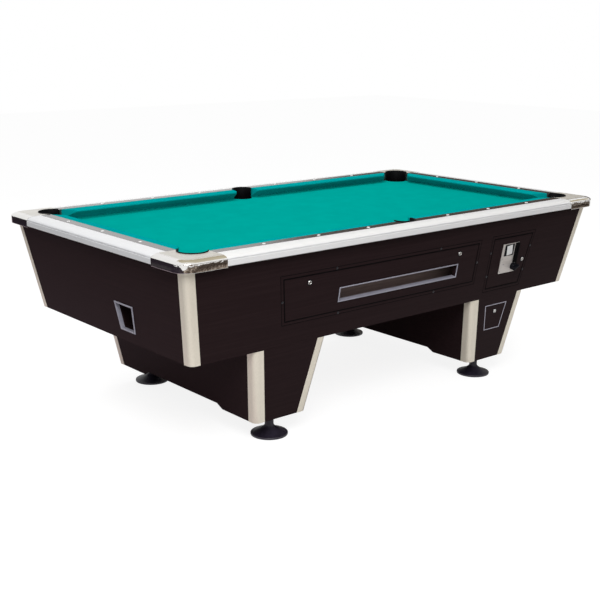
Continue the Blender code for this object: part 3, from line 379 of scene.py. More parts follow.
def clothMaterial(name, low, high):
    material = newMaterial(name, high, cloth["rough"], specular=0.0)
    twoTones(material, noise(material, even, cloth["patches"], detail=6), low, high)
    nap = noise(material, even, cloth["nap"], detail=2)
    bumpBy(material, nap, cloth["napStrength"], cloth["napLift"])


clothMaterial("tealCloth", (0.0, 0.350, 0.308), (0.0, 0.385, 0.338))
# The cushion cloth is bluer than the bed cloth, as painted shade
clothMaterial("tealWrapPaintedShade", (0.0, 0.330, 0.335), (0.0, 0.365, 0.372))

laminate = {
    "rough": (0.40, 0.50), "specular": 0.022, "strength": 0.05, "lift": 0.0005,
    "grain": {"detail": 8, "rough": 0.6}, "plywoodFigure": {"detail": 7, "rough": 0.55},
    "wenge": [(0.34, (0.0188, 0.0104, 0.0114)), (0.50, (0.0211, 0.0118, 0.0129)),
              (0.66, (0.0240, 0.0137, 0.0148))],
    "plywood": [(0.3, (0.36, 0.27, 0.25)), (0.7, (0.48, 0.37, 0.345))],
    "paintedLightTone": 1.15,  # painted light: the ends of the table are made a little lighter
}


def laminateMaterial(name, along, wood, figure, tone=1.0):
    stops = [(spot, tuple(part * tone for part in brown)) for spot, brown in laminate[wood]]
    material = newMaterial(name, stops[-1][1], laminate["rough"][0], specular=laminate["specular"])
    colourBy(material, noise(material, along, **laminate[figure]), stops)
    grain = noise(material, along, **laminate["grain"])
    roughBy(material, grain, *laminate["rough"])
    bumpBy(material, grain, laminate["strength"], laminate["lift"])


laminateMaterial("wengeLong", (3, 60, 170), "wenge", "grain")
# The end panels' copy of the laminate is lighter, as painted light
laminateMaterial("wengeCrossPaintedLight", (60, 3, 170), "wenge", "grain", laminate["paintedLightTone"])
laminateMaterial("plywood", (4, 50, 120), "plywood", "plywoodFigure")

strip = {"low": (0.034, 0.027, 0.024), "high": (0.050, 0.041, 0.037), "spread": (0.32, 0.68),
         "grain": (18, 18, 240), "smears": 60, "rough": (0.10, 0.17), "specular": 0.75}


def stripMaterial(name):
    material = newMaterial(name, strip["high"], strip["rough"][0], specular=strip["specular"])
    grain = noise(material, strip["grain"], detail=6)
    twoTones(material, grain, strip["low"], strip["high"], strip["spread"])
    roughBy(material, noise(material, even, strip["smears"]), *strip["rough"])


stripMaterial("glossyStrip")

chrome = {"low": (0.76, 0.75, 0.73), "high": (0.84, 0.83, 0.81), "patches": 9,
          "wear": 130, "wearRough": 0.06, "flatFrom": 0.985, "sideRough": 0.02, "topRough": 0.45,
          "ripples": 60, "rippleStrength": 0.5, "rippleLift": 0.0012}


# Polished on its sides, satin where it lies flat on top
def chromeMaterial(name):
    side, top = chrome["sideRough"], chrome["topRough"]
    material = newMaterial(name, chrome["high"], side, metallic=1.0)
    parts = addNode(material, "ShaderNodeSeparateXYZ")
    link(addNode(material, "ShaderNodeTexCoord").outputs["Normal"], parts.inputs[0])
    flat = remap(material, parts.outputs["Z"], chrome["flatFrom"], 1.0, side, top)
    wear = noise(material, even, chrome["wear"], detail=5)
    rough = maths(material, "MULTIPLY_ADD", wear, chrome["wearRough"], flat)
    link(rough, shaderOf(material).inputs["Roughness"])
    twoTones(material, noise(material, even, chrome["patches"]), chrome["low"], chrome["high"])
    ripples = noise(material, even, chrome["ripples"], detail=2)
    bumpBy(material, ripples, chrome["rippleStrength"], chrome["rippleLift"])


chromeMaterial("chrome")

# Dark tone, light tone, roughness, share of metal, and how dense the brush marks lie in x, y and z
brushedLooks = {
    "whiteSilverLong": ((0.865, 0.865, 0.87), (0.905, 0.905, 0.91), 0.34, 0.12, (2, 800, 800)),
    # The end mouldings' copy is darker than the long one, as painted shade
    "whiteSilverCross": ((0.78, 0.785, 0.80), (0.84, 0.845, 0.86), 0.34, 0.12, (800, 2, 800)),
    "beigeSilver": ((0.80, 0.735, 0.62), (0.88, 0.81, 0.69), 0.38, 0.18, (600, 600, 3)),
    "brushedSteel": ((0.50, 0.50, 0.50), (0.62, 0.62, 0.62), 0.30, 1.0, (20, 450, 450)),
    "nickel": ((0.46, 0.455, 0.44), (0.58, 0.575, 0.56), 0.26, 1.0, (1200, 1200, 1200)),
    "plateMetal": ((0.60, 0.56, 0.53), (0.72, 0.68, 0.65), 0.36, 0.3, (6, 700, 700)),
    "darkScrew": ((0.030, 0.030, 0.036), (0.055, 0.055, 0.064), 0.34, 0.7, (300, 300, 300)),
}
brushMarks = {"spread": (0.32, 0.68), "smoother": 0.05, "rougher": 0.07, "strength": 0.02, "lift": 0.0003}


def brushedMaterial(name, low, high, rough, metallic, along):
    material = newMaterial(name, high, rough, metallic)
    brush = noise(material, along, detail=3)
    twoTones(material, brush, low, high, brushMarks["spread"])
    roughBy(material, brush, rough - brushMarks["smoother"], rough + brushMarks["rougher"])
    bumpBy(material, brush, brushMarks["strength"], brushMarks["lift"])


for name, look in brushedLooks.items():
    brushedMaterial(name, *look)

# Dark tone, light tone, roughness, fineness of the pores, their lift, and how strongly it mirrors
mouldedLooks = {
    "blackRubber": ((0.0016, 0.0014, 0.0018), (0.0036, 0.0032, 0.0040), 0.55, 700, 0.0002, 0.08),
    "slate": ((0.045, 0.048, 0.050), (0.085, 0.088, 0.090), 0.75, 160, 0.0002, 0.5),
    "footPlastic": ((0.011, 0.008, 0.017), (0.020, 0.015, 0.029), 0.50, 500, 0.0002, 0.5),
    "bezelPlastic": ((0.31, 0.305, 0.37), (0.38, 0.375, 0.44), 0.36, 500, 0.0002, 0.5),
    "palePlastic": ((0.42, 0.40, 0.48), (0.50, 0.48, 0.56), 0.36, 500, 0.0002, 0.5),
    "blackPlastic": ((0.004, 0.004, 0.006), (0.009, 0.009, 0.012), 0.34, 600, 0.0002, 0.07),
    "matBlack": ((0.0025, 0.0022, 0.0025), (0.005, 0.0045, 0.005), 0.80, 600, 0.0002, 0.03),
    "pearlSight": ((0.86, 0.86, 0.85), (0.92, 0.92, 0.91), 0.25, 300, 0.00005, 0.5),
    "blankLabel": ((0.80, 0.80, 0.79), (0.86, 0.86, 0.85), 0.55, 400, 0.00005, 0.5),
}
poreMarks = {"clouds": 0.08, "roughSpread": 0.06, "strength": 0.25}


def mouldedMaterial(name, low, high, rough, pores, lift, specular):
    material = newMaterial(name, high, rough, specular=specular)
    twoTones(material, noise(material, even, pores * poreMarks["clouds"]), low, high)
    fine = noise(material, even, pores, detail=3)
    roughBy(material, fine, rough - poreMarks["roughSpread"], rough + poreMarks["roughSpread"])
    bumpBy(material, fine, poreMarks["strength"], lift)


for name, look in mouldedLooks.items():
    mouldedMaterial(name, *look)
print("materials made")


# CAD pieces that keep their own shape

kept = {"slate": ["slate_bed"], "plywood": ["base_board", "ball_run"], "plateMetal": ["coin_mech"],
        "brushedSteel": ["cash_box", "release_gate"],
        "glossyStrip": ["rail_front", "rail_back", "rail_left", "rail_right"],
        "wengeCrossPaintedLight": ["panel_left", "panel_right"],
        "wengeLong": ["panel_front", "panel_back", "pedestal_left", "pedestal_right", "ball_door",
                      "coin_door", "cash_door"]}
for look, names in kept.items():
    for name in names:
        nodes[name].data.materials.clear()
        nodes[name].data.materials.append(finish[look])
print("CAD pieces dressed")


# Rails: their pieces are modelled for the back one, with the nose at y 0 and the rail top at z 0

sides = {"back": (0, noseY), "left": (90, noseX), "front": (180, noseY), "right": (-90, noseX)}


def railPlace(side, mirrored=False):
    angle, nose = sides[side]
    flip = Matrix.Scale(-1, 4, (1, 0, 0)) if mirrored else Matrix.Identity(4)
    return turnZ(angle) @ at((0, nose, railTop)) @ flip


cushion = {
    "profile": [(0, -0.005), (0.005, -0.0018), (0.0475, 0), (0.0475, -0.0412), (0.0385, -0.0412),
                (0.034, -0.0335), (0, -0.0095)],
    "depth": 0.0475, "spare": 0.06, "edgeRound": 0.0016,
    "cornerEnd": 0.081, "cornerJaw": 0.036, "cornerRound": 0.045,
    "middleEnd": 0.060, "middleJaw": 0.0105, "middleRound": 0.012, "cuts": 7,
}


# Each cut takes off what lies past one tangent of the rounded jaw
def roundEnd(end, jaw, radius, way):
    last = atan2(-jaw, cushion["depth"])
    centre = Vector((end - way * (radius + sin(last) * radius) / cos(last), radius, 0))
    for step in range(1, cushion["cuts"] + 1):
        angle = -pi / 2 + (last + pi / 2) * step / cushion["cuts"]
        normal = Vector((way * cos(angle), sin(angle), 0))
        spot = centre + normal * radius
        bpy.ops.mesh.select_all(action="SELECT")
        bpy.ops.mesh.bisect(plane_co=spot, plane_no=normal, use_fill=True, clear_outer=True)


def wrappedCushion(start, startJaw, startRound, end, endJaw, endRound):
    spare = cushion["spare"]
    points = [(start - spare, out, down) for out, down in cushion["profile"]]
    piece = edit(solid(points, (end - start + 2 * spare, 0, 0)))
    roundEnd(start, startJaw, startRound, -1)
    roundEnd(end, endJaw, endRound, 1)
    closeShape()
    return softEdges(piece, cushion["edgeRound"], steps=4, angle=28)


cornerCut = (cushion["cornerJaw"], cushion["cornerRound"])
middleCut = (cushion["middleJaw"], cushion["middleRound"])
endReach = noseY - cushion["cornerEnd"]
longCushion = wrappedCushion(cushion["middleEnd"], *middleCut, noseX - cushion["cornerEnd"], *cornerCut)
endCushion = wrappedCushion(-endReach, *cornerCut, endReach, *cornerCut)
cushionPlaces = [("back_right", longCushion, "back", False), ("back_left", longCushion, "back", True),
                 ("front_left", longCushion, "front", False), ("front_right", longCushion, "front", True),
                 ("left_end", endCushion, "left", False), ("right_end", endCushion, "right", False)]
for name, master, side, mirrored in cushionPlaces:
    piece = copyTo(master, railPlace(side, mirrored))
    dress(piece, "wrappedCushion_" + name, "tealWrapPaintedShade", 40, replaced="cushion_" + name)
discard(longCushion, endCushion)
print("six cushions wrapped")

moulding = {"stripEdge": 0.091, "crown": 0.060, "fall": 0.0135, "shape": 0.91, "steps": 20, "wall": 0.0025,
            "groove": 0.0034, "grooveFrom": 0.0004, "grooveTo": 0.0036,
            "out": 0.1535, "lip": ((-0.0008, -0.0040), (0, -0.0050)), "foot": -0.038, "footRound": 0.002,
            "side": 0.0055, "sideTop": 0.006, "innerShort": 0.001}


def crown(width, wall):
    points = []
    for step in range(moulding["steps"] + 1):
        angle = pi / 2 * step / moulding["steps"]
        across = moulding["stripEdge"] + width * sin(angle) ** moulding["shape"]
        drop = moulding["fall"] * (1 - max(cos(angle), 0) ** moulding["shape"])
        points.append((across, -wall - drop))
    return points


# Domed top, a shadow groove below it, a flat side and an open back
def mouldingProfile():
    edge = moulding["stripEdge"] + moulding["crown"]
    out, fall, foot, curl = moulding["out"], -moulding["fall"], moulding["foot"], moulding["footRound"]
    groove, inside = edge - moulding["groove"], edge - moulding["side"]
    points = crown(moulding["crown"], 0)
    points += [(groove, fall - moulding["grooveFrom"]), (groove, fall - moulding["grooveTo"])]
    points += stepped(out, fall, moulding["lip"])
    points += [(out, foot + curl), (out - curl, foot)]
    points += [(inside, foot), (inside, fall - moulding["sideTop"])]
    inner = crown(moulding["crown"] - moulding["side"] - moulding["innerShort"], moulding["wall"])
    return points + inner[::-1][1:]


mouldingPairs = ((mouldingEndX, ("front", "back"), "whiteSilverLong"),
                 (mouldingEndY, ("left", "right"), "whiteSilverCross"))
for half, pair, look in mouldingPairs:
    master = solid([(-half, out, down) for out, down in mouldingProfile()], (2 * half, 0, 0))
    for side in pair:
        piece = copyTo(master, railPlace(side))
        dress(piece, "railMoulding_" + side, look, 25, replaced="moulding_" + side)
    discard(master)
print("four mouldings fitted")

casting = {"round": 0.061, "crownWide": 0.045, "crownFall": 0.0135, "drop": 0.038, "hole": 0.0558,
           "joint": 0.0003, "skirt": 0.0065, "skirtWide": 0.014, "foot": 0.0035,
           "holeClear": 0.002, "rimClear": 0.001}


def cornerCasting():
    jointX, jointY = mouldingEndX + casting["joint"], mouldingEndY + casting["joint"]
    middle = (outerX - casting["round"], outerY - casting["round"])
    across = cornerPocket.x - jointX
    along = (casting["hole"] ** 2 - across ** 2) ** 0.5
    holeStart, holeEnd = degrees(atan2(-across, along)), degrees(atan2(along, -across))
    outline = [(outerX, jointY)] + arcPoints(middle, casting["round"], 0, 90, steps=20) + [(jointX, outerY)]
    outline += arcPoints(cornerPocket, casting["hole"], holeEnd, holeStart, steps=28)
    stretch = casting["crownWide"] / casting["crownFall"]  # drawn tall: a round bevel becomes a low crown
    bottom = -casting["drop"] * stretch
    piece = edit(solid([(x, y, 0) for x, y in outline], (0, 0, bottom)))

    def onRim(a, b):
        point = (a + b) / 2
        joint = max(a.x, b.x) < jointX + hair or max(a.y, b.y) < jointY + hair
        return not joint and (point.xy - cornerPocket).length > casting["hole"] + casting["holeClear"]

    def outside(point):
        away = max(point.x - middle[0], 0), max(point.y - middle[1], 0)
        return Vector(away).length > casting["round"] - casting["rimClear"]

    # The outer rim hangs a little lower than the rest
    pickEdges(piece, lambda a, b: max(a.z, b.z) < bottom + hair)
    bpy.ops.mesh.select_mode(type="FACE")
    bpy.ops.mesh.inset(thickness=casting["skirtWide"])
    pickEdges(piece, lambda a, b: max(a.z, b.z) < bottom + hair and outside(a) and outside(b))
    bpy.ops.transform.translate(value=(0, 0, -casting["skirt"] * stretch))
    # Crown, then the true height, then the lower edge
    pickEdges(piece, lambda a, b: min(a.z, b.z) > -hair and onRim(a, b))
    roundPicked(casting["crownWide"], steps=16)
    bpy.ops.mesh.select_all(action="SELECT")
    bpy.ops.transform.resize(value=(1, 1, 1 / stretch), center_override=(0, 0, 0))
    low = -casting["drop"] - casting["skirt"]
    pickEdges(piece, lambda a, b: max(a.z, b.z) < low + hair and onRim(a, b))
    roundPicked(casting["foot"], steps=5)
    closeShape()
    return piece


master = cornerCasting()
for end, hand, signX, signY in corners:
    name = end + "_" + hand
    piece = copyTo(master, at((0, 0, railTop)) @ Matrix.Diagonal((signX, signY, 1, 1)))
    dress(piece, "chromeCorner_" + name, "chrome", 30, replaced="corner_casting_" + name)
discard(master)
print("four corner castings fitted")

liner = {"wall": 0.003, "foot": -0.063, "rest": 0.0003, "edge": 0.0006,
         "outerLip": ((0, 0.0022), (-0.0010, 0.0036)),
         "innerLip": ((0.0026, 0.0040), (0.0008, 0.0030), (0, 0.0012)),
         "mouth": 0.010, "mouthFoot": -0.0425, "mouthReach": 0.09, "mouthTop": 0.02,
         "cornerBore": 0.0525, "cornerLip": 0.0013, "middleBore": 0.0435, "middleLip": 0.002}


def pocketLiner(bore, lip):
    wall, rest, foot, reach = bore + liner["wall"], liner["rest"], liner["foot"], liner["mouthReach"]
    profile = [(wall, rest), (wall + lip, rest)] + stepped(wall + lip, 0, liner["outerLip"])
    profile += stepped(bore, 0, liner["innerLip"]) + [(bore, foot), (wall, foot), (wall, rest)]
    piece = turned(profile, sides=72)
    cutAway(piece, block((liner["mouth"], -reach, liner["mouthFoot"]), (reach, reach, liner["mouthTop"])))
    return softEdges(piece, liner["edge"], angle=50)


cornerLiner = pocketLiner(liner["cornerBore"], liner["cornerLip"])
middleLiner = pocketLiner(liner["middleBore"], liner["middleLip"])
for end, hand, signX, signY in pockets:
    name = end + "_" + hand
    turn = degrees(atan2(-signY, -signX))  # its mouth looks into the field
    master = cornerLiner if signX else middleLiner
    piece = copyTo(master, at(pocketSpot(signX, signY, railTop)) @ turnZ(turn))
    dress(piece, "rubberLiner_" + name, "blackRubber", 40, replaced="pocket_liner_" + name)
discard(cornerLiner, middleLiner)
print("six pocket liners fitted")

sight = {"radius": 0.0068, "rise": 0.0024, "sink": 0.0008,
         "dome": ((1, 0.2), (0.93, 0.5), (0.75, 0.78), (0.45, 0.95)),
         "long": (0.225, 0.479, 0.737), "end": (0, 0.265), "out": 0.0715}


def sightDot():
    radius, rise, sink = sight["radius"], sight["rise"], sight["sink"]
    dome = domed(radius, rise, sight["dome"])
    return turned([(0, -sink), (radius, -sink)] + dome + [(0, rise)], sides=32)


master = sightDot()
for side in sides:
    spots = sight["long"] if side in ends else sight["end"]
    for along in sorted({-spot for spot in spots} | set(spots)):
        piece = copyTo(master, railPlace(side) @ at((along, sight["out"], 0)))
        dress(piece, "sight_%s_%d" % (side, round((along + 1) * 1000)), "pearlSight")
discard(master)
print("eighteen sights set in")


# Playing cloth

bedCloth = {"reach": 0.0472, "thickness": 0.0006, "lift": 0.0001,
            "cornerHole": 0.0556, "middleHole": 0.0472}


def playingCloth():
    halfX, halfY = noseX + bedCloth["reach"], noseY + bedCloth["reach"]
    low = slateTop + bedCloth["lift"]
    piece = block((-halfX, -halfY, low), (halfX, halfY, low + bedCloth["thickness"]))
    for *_, signX, signY in pockets:
        radius = bedCloth["cornerHole"] if signX else bedCloth["middleHole"]
        cutAway(piece, rod(pocketSpot(signX, signY, slateTop), radius, depth=2 * cutSpare, sides=72))
    return piece


piece = dress(playingCloth(), "bedCloth", "tealCloth", 30)


# Corner trims

trim = {"round": 0.022, "proud": 0.001, "nick": 0.0006,
        "cabinetLeg": 0.041, "cabinetWall": 0.020, "pedestalLeg": 0.0437, "pedestalWall": 0.018,
        "inner": 0.4777, "outer": 0.7233, "innerLean": 0.1835, "outerLean": 0.156}
pedestalLow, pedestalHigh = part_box("pedestal_right")[0].z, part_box("pedestal_right")[1].z
pedestalY = cabinet["halfY"] - (cabinet["low"] - pedestalLow) * cabinet["leanY"]


# An angle with a rounded outer corner, drawn inwards from that corner and pulled up along the lean
def cornerTrim(corner, wayX, leg, wall, low, high, leanX):
    proud, nick = trim["proud"], trim["nick"]
    middle = trim["round"] - proud
    inward = [(leg, nick - proud), (leg - nick, -proud)]
    inward += arcPoints((middle, middle), trim["round"], 270, 180, steps=12)
    inward += [(-proud, leg - nick), (nick - proud, leg), (wall, leg), (wall, wall), (leg, wall)]
    rise = high - low
    return solid([(corner[0] - wayX * across, corner[1] - along, low) for across, along in inward],
                 (wayX * leanX * rise, cabinet["leanY"] * rise, rise))


def pedestalTrim(where, wayX):
    return cornerTrim((trim[where], pedestalY), wayX, trim["pedestalLeg"], trim["pedestalWall"],
                      pedestalLow, pedestalHigh, trim[where + "Lean"])


cabinetMaster = cornerTrim((cabinet["halfX"], cabinet["halfY"]), 1, trim["cabinetLeg"], trim["cabinetWall"],
                           cabinet["low"], cabinet["high"], cabinet["leanX"])
pedestalMasters = {"inner": pedestalTrim("inner", -1), "outer": pedestalTrim("outer", 1)}
for end, hand, signX, signY in corners:
    mirror = Matrix.Diagonal((signX, signY, 1, 1))
    name = end + "_" + hand
    piece = copyTo(cabinetMaster, mirror)
    dress(piece, "cabinetCorner_" + name, "beigeSilver", 25, replaced="cabinet_trim_" + name)
    for where, master in pedestalMasters.items():
        name = "%s_%s_%s" % (hand, where, end)
        piece = copyTo(master, mirror)
        dress(piece, "pedestalCorner_" + name, "beigeSilver", 25, replaced="pedestal_trim_" + name)
discard(cabinetMaster, *pedestalMasters.values())
print("twelve corner trims fitted")


# Levelling feet

foot = {"radius": 0.0735, "top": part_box("foot_left_front")[1].z,
        "rim": ((-0.003, 0), (-0.0008, 0.0008), (0, 0.003), (0, 0.0075), (-0.0012, 0.0092),
                (-0.006, 0.0100)),
        "coneIn": 0.0065, "coneLow": 0.0102, "coneTop": 0.042, "coneBend": 1.7, "coneSteps": 10,
        "neck": 0.0175, "neckTop": 0.1104, "nick": 0.001, "screw": 0.0098,
        "groove": ((0, 0.060), (-0.0012, 0.0612), (-0.0012, 0.0632), (0, 0.0644))}


# Disc, hollow-sided cone, grooved neck and the plain end of the screw
def levellingFoot():
    radius, neck, screw, nick = foot["radius"], foot["neck"], foot["screw"], foot["nick"]
    low, top, neckTop = foot["coneLow"], foot["top"], foot["neckTop"]
    start = radius - foot["coneIn"]
    profile = [(0, 0)] + stepped(radius, 0, foot["rim"])
    for step in range(1, foot["coneSteps"] + 1):
        part = step / foot["coneSteps"]
        across = neck + (start - neck) * (1 - part) ** foot["coneBend"]
        profile.append((across, low + (foot["coneTop"] - low) * part))
    profile += stepped(neck, 0, foot["groove"])
    profile += [(neck, neckTop - nick), (neck - nick, neckTop), (screw, neckTop)]
    profile += [(screw, top - nick), (screw - nick, top), (0, top)]
    return turned(profile, sides=64)


master = levellingFoot()
for end, hand, *_ in corners:
    name = "foot_%s_%s" % (hand, end)
    centre = (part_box(name)[0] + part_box(name)[1]) / 2
    piece = copyTo(master, at((centre.x, centre.y, 0)))
    dress(piece, "levelling_" + name, "footPlastic", body=name, replaced=name)
discard(master)
print("four feet fitted")


# Locks

lock = {"flange": 0.0088, "barrel": 0.0084, "plug": 0.0056, "plugTop": 0.0012, "seat": 0.0002,
        "plugEdge": ((-0.0008, 0.0012), (0, 0.0016), (0, 0.0020), (0.0008, 0.0030)),
        "flangeEdge": ((-0.0016, 0.0030), (-0.0004, 0.0018), (0, 0.0006), (0, 0.0002)),
        "keyLong": 0.0075, "keyWide": 0.0018, "keyDeep": -0.004,
        "camBack": 0.007, "camReach": 0.029, "camHalf": 0.007, "camThick": 0.003, "camEdge": 0.001,
        "nut": ((0, -0.0020), (0.0050, -0.0020), (0.0055, -0.0015), (0.0055, 0)),
        "ring": 0.0125, "ringBore": 0.0091, "ringEdge": ((-0.0006, 0.00112), (-0.0018, 0.0016)),
        "ringMouth": ((0.0004, 0.0016), (0, 0.0010)),
        "turns": {"ball_door_lock_left": 0, "ball_door_lock_right": 0, "coin_door_lock": -90,
                  "cash_door_lock": 0}}


def camLock(camDeep):
    barrel, end = lock["barrel"], camDeep + lock["camThick"]
    profile = [(0, lock["plugTop"])] + stepped(lock["plug"], 0, lock["plugEdge"])
    profile += stepped(lock["flange"], 0, lock["flangeEdge"])
    head = turned(profile + [(barrel, lock["seat"]), (barrel, end), (0, end)], sides=40)
    long, wide, half = lock["keyLong"] / 2, lock["keyWide"] / 2, lock["camHalf"]
    cutAway(head, block((-wide, -long, lock["keyDeep"]), (wide, long, cutSpare)))
    cam = block((-lock["camBack"], -half, camDeep), (lock["camReach"], half, end))
    softEdges(cam, lock["camEdge"])
    return joined(head, cam, turned(stepped(0, camDeep, lock["nut"]), sides=6))


# A black ring behind each lock paints the dark shade around it
def lockShadeRing():
    outer, bore = lock["ring"], lock["ringBore"]
    profile = [(bore, hair), (outer, hair)] + stepped(outer, 0, lock["ringEdge"])
    return turned(profile + stepped(bore, 0, lock["ringMouth"]) + [(bore, hair)], sides=40)


shadeRingMaster = lockShadeRing()
for name, turn in lock["turns"].items():
    matrix = at(pivots[name]) @ frontTurn
    inside = matrix.inverted()
    camDeep = min((inside @ vertex.co).z for vertex in nodes[name].data.vertices)
    piece = place(camLock(camDeep), matrix @ turnZ(turn))
    dress(piece, "nickel_" + name, "nickel", 30, name, name)
    door = name.split("_lock")[0]
    dress(copyTo(shadeRingMaster, matrix), "ring_" + name, "blackPlastic", 30, door)
discard(shadeRingMaster)
print("four locks fitted")


# Front fittings and the outlet, placed along their face and by height

screw = {"radius": 0.0052, "rise": 0.0016, "dome": ((0.96, 0.4), (0.7, 0.85)),
         "slotWide": 0.0012, "slotDeep": 0.0009, "slotReach": 0.62, "turn": 17, "turnStep": 23,
         "ball": ((-0.416, 0.6686), (0.155, 0.6686), (-0.378, 0.4821), (0.155, 0.4821), (-0.666, 0.572),
                  (0.4025, 0.575)),
         "coin": ((0.4855, 0.604), (0.4855, 0.498), (0.751, 0.607), (0.732, 0.498))}


def screwHead():
    radius, rise, half = screw["radius"], screw["rise"], screw["slotWide"] / 2
    dome = domed(radius, rise, screw["dome"])
    head = turned([(0, hair), (radius, hair)] + dome + [(0, rise)], sides=28)
    deep, reach = rise - screw["slotDeep"], radius * screw["slotReach"]
    for x, y in ((half, reach), (reach, half)):
        cutAway(head, block((-x, -y, deep), (x, y, rise + cutSpare)))
    return head


def onFront(x, height, out=0.0, turn=0.0):
    return frontFace @ at((x, upFace(height), out)) @ turnZ(turn)


screwMaster = screwHead()
for door in ("ball", "coin"):
    for number, (x, height) in enumerate(screw[door]):
        piece = copyTo(screwMaster, onFront(x, height, turn=screw["turn"] + screw["turnStep"] * number))
        dress(piece, "frameScrew_%s_%d" % (door, number), "darkScrew", 30)


def ringFrame(outer, inner, back, front):
    piece = solid([(x, y, back) for x, y in outer], (0, 0, front - back))
    cutter = solid([(x, y, back - cutSpare) for x, y in inner], (0, 0, front - back + 2 * cutSpare))
    return cutAway(piece, cutter)


# Moves the four sides of an outline outwards; its top and bottom are level
def grown(points, amount):
    (leftLow, low), (rightLow, _), (rightHigh, high), (leftHigh, _) = points
    leftSlope, rightSlope = (leftHigh - leftLow) / (high - low), (rightHigh - rightLow) / (high - low)
    return [(leftLow - amount * (1 + leftSlope), low - amount),
            (rightLow + amount * (1 - rightSlope), low - amount),
            (rightHigh + amount * (1 + rightSlope), high + amount),
            (leftHigh - amount * (1 - leftSlope), high + amount)]


window = {"middle": -0.055, "low": 0.531, "high": 0.584, "half": 0.330, "spread": 0,
          "border": 0.0036, "lip": 0.0009, "proud": 0.003, "round": 0.0009, "deep": 0.0175}
outlet = {"middle": 0.157, "low": 0.444, "high": 0.544, "half": 0.046, "spread": 0.012,
          "border": 0.0056, "lip": 0.0012, "proud": 0.0035, "round": 0.0014, "deep": 0.012}
sleeveGap, sleeveTop = 0.0004, 0.0005


# A rounded rim on the face, and a sleeve that runs into the hole
def bezel(values, face, inward):
    low, high, spread = upFace(values["low"], face), upFace(values["high"], face), values["spread"]
    left, right = values["middle"] - values["half"], values["middle"] + values["half"]
    hole = [(left, low), (right, low), (right + spread, high), (left - spread, high)]
    inner = grown(hole, -values["lip"])
    rim = ringFrame(grown(hole, values["border"]), inner, hair, values["proud"])
    softEdges(rim, values["round"], steps=3)
    sleeve = edit(ringFrame(grown(hole, -sleeveGap), inner, 0, sleeveTop))
    pickEdges(sleeve, lambda a, b: max(a.z, b.z) < hair)
    bpy.ops.transform.translate(value=Vector(inward) * values["deep"])
    bpy.ops.object.mode_set(mode="OBJECT")
    return place(joined(rim, sleeve), face)


levelInward = leftFace.to_3x3().inverted() @ Vector((1, 0, 0))
dress(bezel(window, frontFace, (0, 0, -1)), "windowBezel", "bezelPlastic", body="ball_door")
dress(bezel(outlet, leftFace, levelInward), "outletBezel", "bezelPlastic")

surround = {"freeGap": 0.0015, "hingeGap": 0.0004, "faceSlack": 0.0005,
            "cashWidth": 0.0036, "cashProud": 0.0014, "shadeRimWidth": 0.0042, "shadeRimProud": 0.0005,
            "clear": 0.0006, "edgeShare": 0.4,
            "grooveAway": 0.0165, "grooveShadowHalf": 0.00105, "grooveShadowDeep": -0.0013, "grooveShadowProud": 0.0002}


# The opening is the door's front outline and its gaps
def doorOpening(name, hinge):
    inside = frontFace.inverted()
    points = [inside @ vertex.co for vertex in nodes[name].data.vertices]
    front = [point for point in points if abs(point.z) < surround["faceSlack"]]
    low, high = min(point.y for point in front), max(point.y for point in front)
    lower = [point.x for point in front if point.y < low + hair]
    upper = [point.x for point in front if point.y > high - hair]
    gap = {side: surround["freeGap"] for side in ("left", "right", "low", "high")}
    gap[hinge] = surround["hingeGap"]
    low, high = low - gap["low"], high + gap["high"]
    return [(min(lower) - gap["left"], low), (max(lower) + gap["right"], low),
            (max(upper) + gap["right"], high), (min(upper) - gap["left"], high)]


def openingRing(opening, width, proud):
    inner = grown(opening, surround["clear"])
    piece = ringFrame(grown(inner, width), inner, hair, proud)
    softEdges(piece, proud * surround["edgeShare"])
    return place(piece, frontFace)


# A black strip lying in the frame's groove paints the groove's shadow
def paintedGrooveShadow(opening):
    outer = grown(opening, surround["grooveAway"] + surround["grooveShadowHalf"])
    inner = grown(opening, surround["grooveAway"] - surround["grooveShadowHalf"])
    return place(ringFrame(outer, inner, surround["grooveShadowDeep"], surround["grooveShadowProud"]), frontFace)


piece = openingRing(doorOpening("cash_door", "low"), surround["cashWidth"], surround["cashProud"])
dress(piece, "cashSurround", "palePlastic")
# A black rim around the ball and coin openings paints the shade around their doors
for door, hinge in (("ball", "low"), ("coin", "left")):
    opening = doorOpening(door + "_door", hinge)
    piece = openingRing(opening, surround["shadeRimWidth"], surround["shadeRimProud"])
    dress(piece, "paintedShadeRim_" + door, "matBlack")
    dress(paintedGrooveShadow(opening), "grooveShadow_" + door, "matBlack")


# Coin mechanism

mech = {"plateFace": 0.003, "knobRoom": 0.0195,
        "channel": (0.6410, 0.534, 0.6650, 0.6340), "channelProud": 0.007, "channelRound": 0.002,
        "slotX": 0.6530, "slotHalf": 0.0026, "slotLow": 0.585, "slotHigh": 0.617,
        "square": (0.574, 0.579, 0.6345, 0.631), "squareProud": 0.0012, "squareEdge": 0.0004,
        "label": (0.606, 0.605), "labelWide": 0.036, "labelHigh": 0.044, "labelThick": 0.0003,
        "labelTilt": 7, "labelRound": 0.0015,
        "screws": ((0.567, 0.508), (0.659, 0.508), (0.567, 0.566), (0.583, 0.540)),
        "screwTurn": 31, "screwScale": 0.7}


# A block on the coin plate, between two corners
def onPlate(corner, proud):
    left, low, right, high = corner
    face = mech["plateFace"]
    return block((left, upFace(low), face), (right, upFace(high), face + proud))


def coinChannel():
    piece = softEdges(onPlate(mech["channel"], mech["channelProud"]), mech["channelRound"], steps=3)
    left, right = mech["slotX"] - mech["slotHalf"], mech["slotX"] + mech["slotHalf"]
    low, high = upFace(mech["slotLow"]), upFace(mech["slotHigh"])
    cutAway(piece, block((left, low, -cutSpare), (right, high, 2 * cutSpare)))
    spot = pivots["coin_knob"]
    cutter = rod((spot.x, upFace(spot.z), 0), mech["knobRoom"], depth=5 * cutSpare, sides=48)
    return place(cutAway(piece, cutter), frontFace)


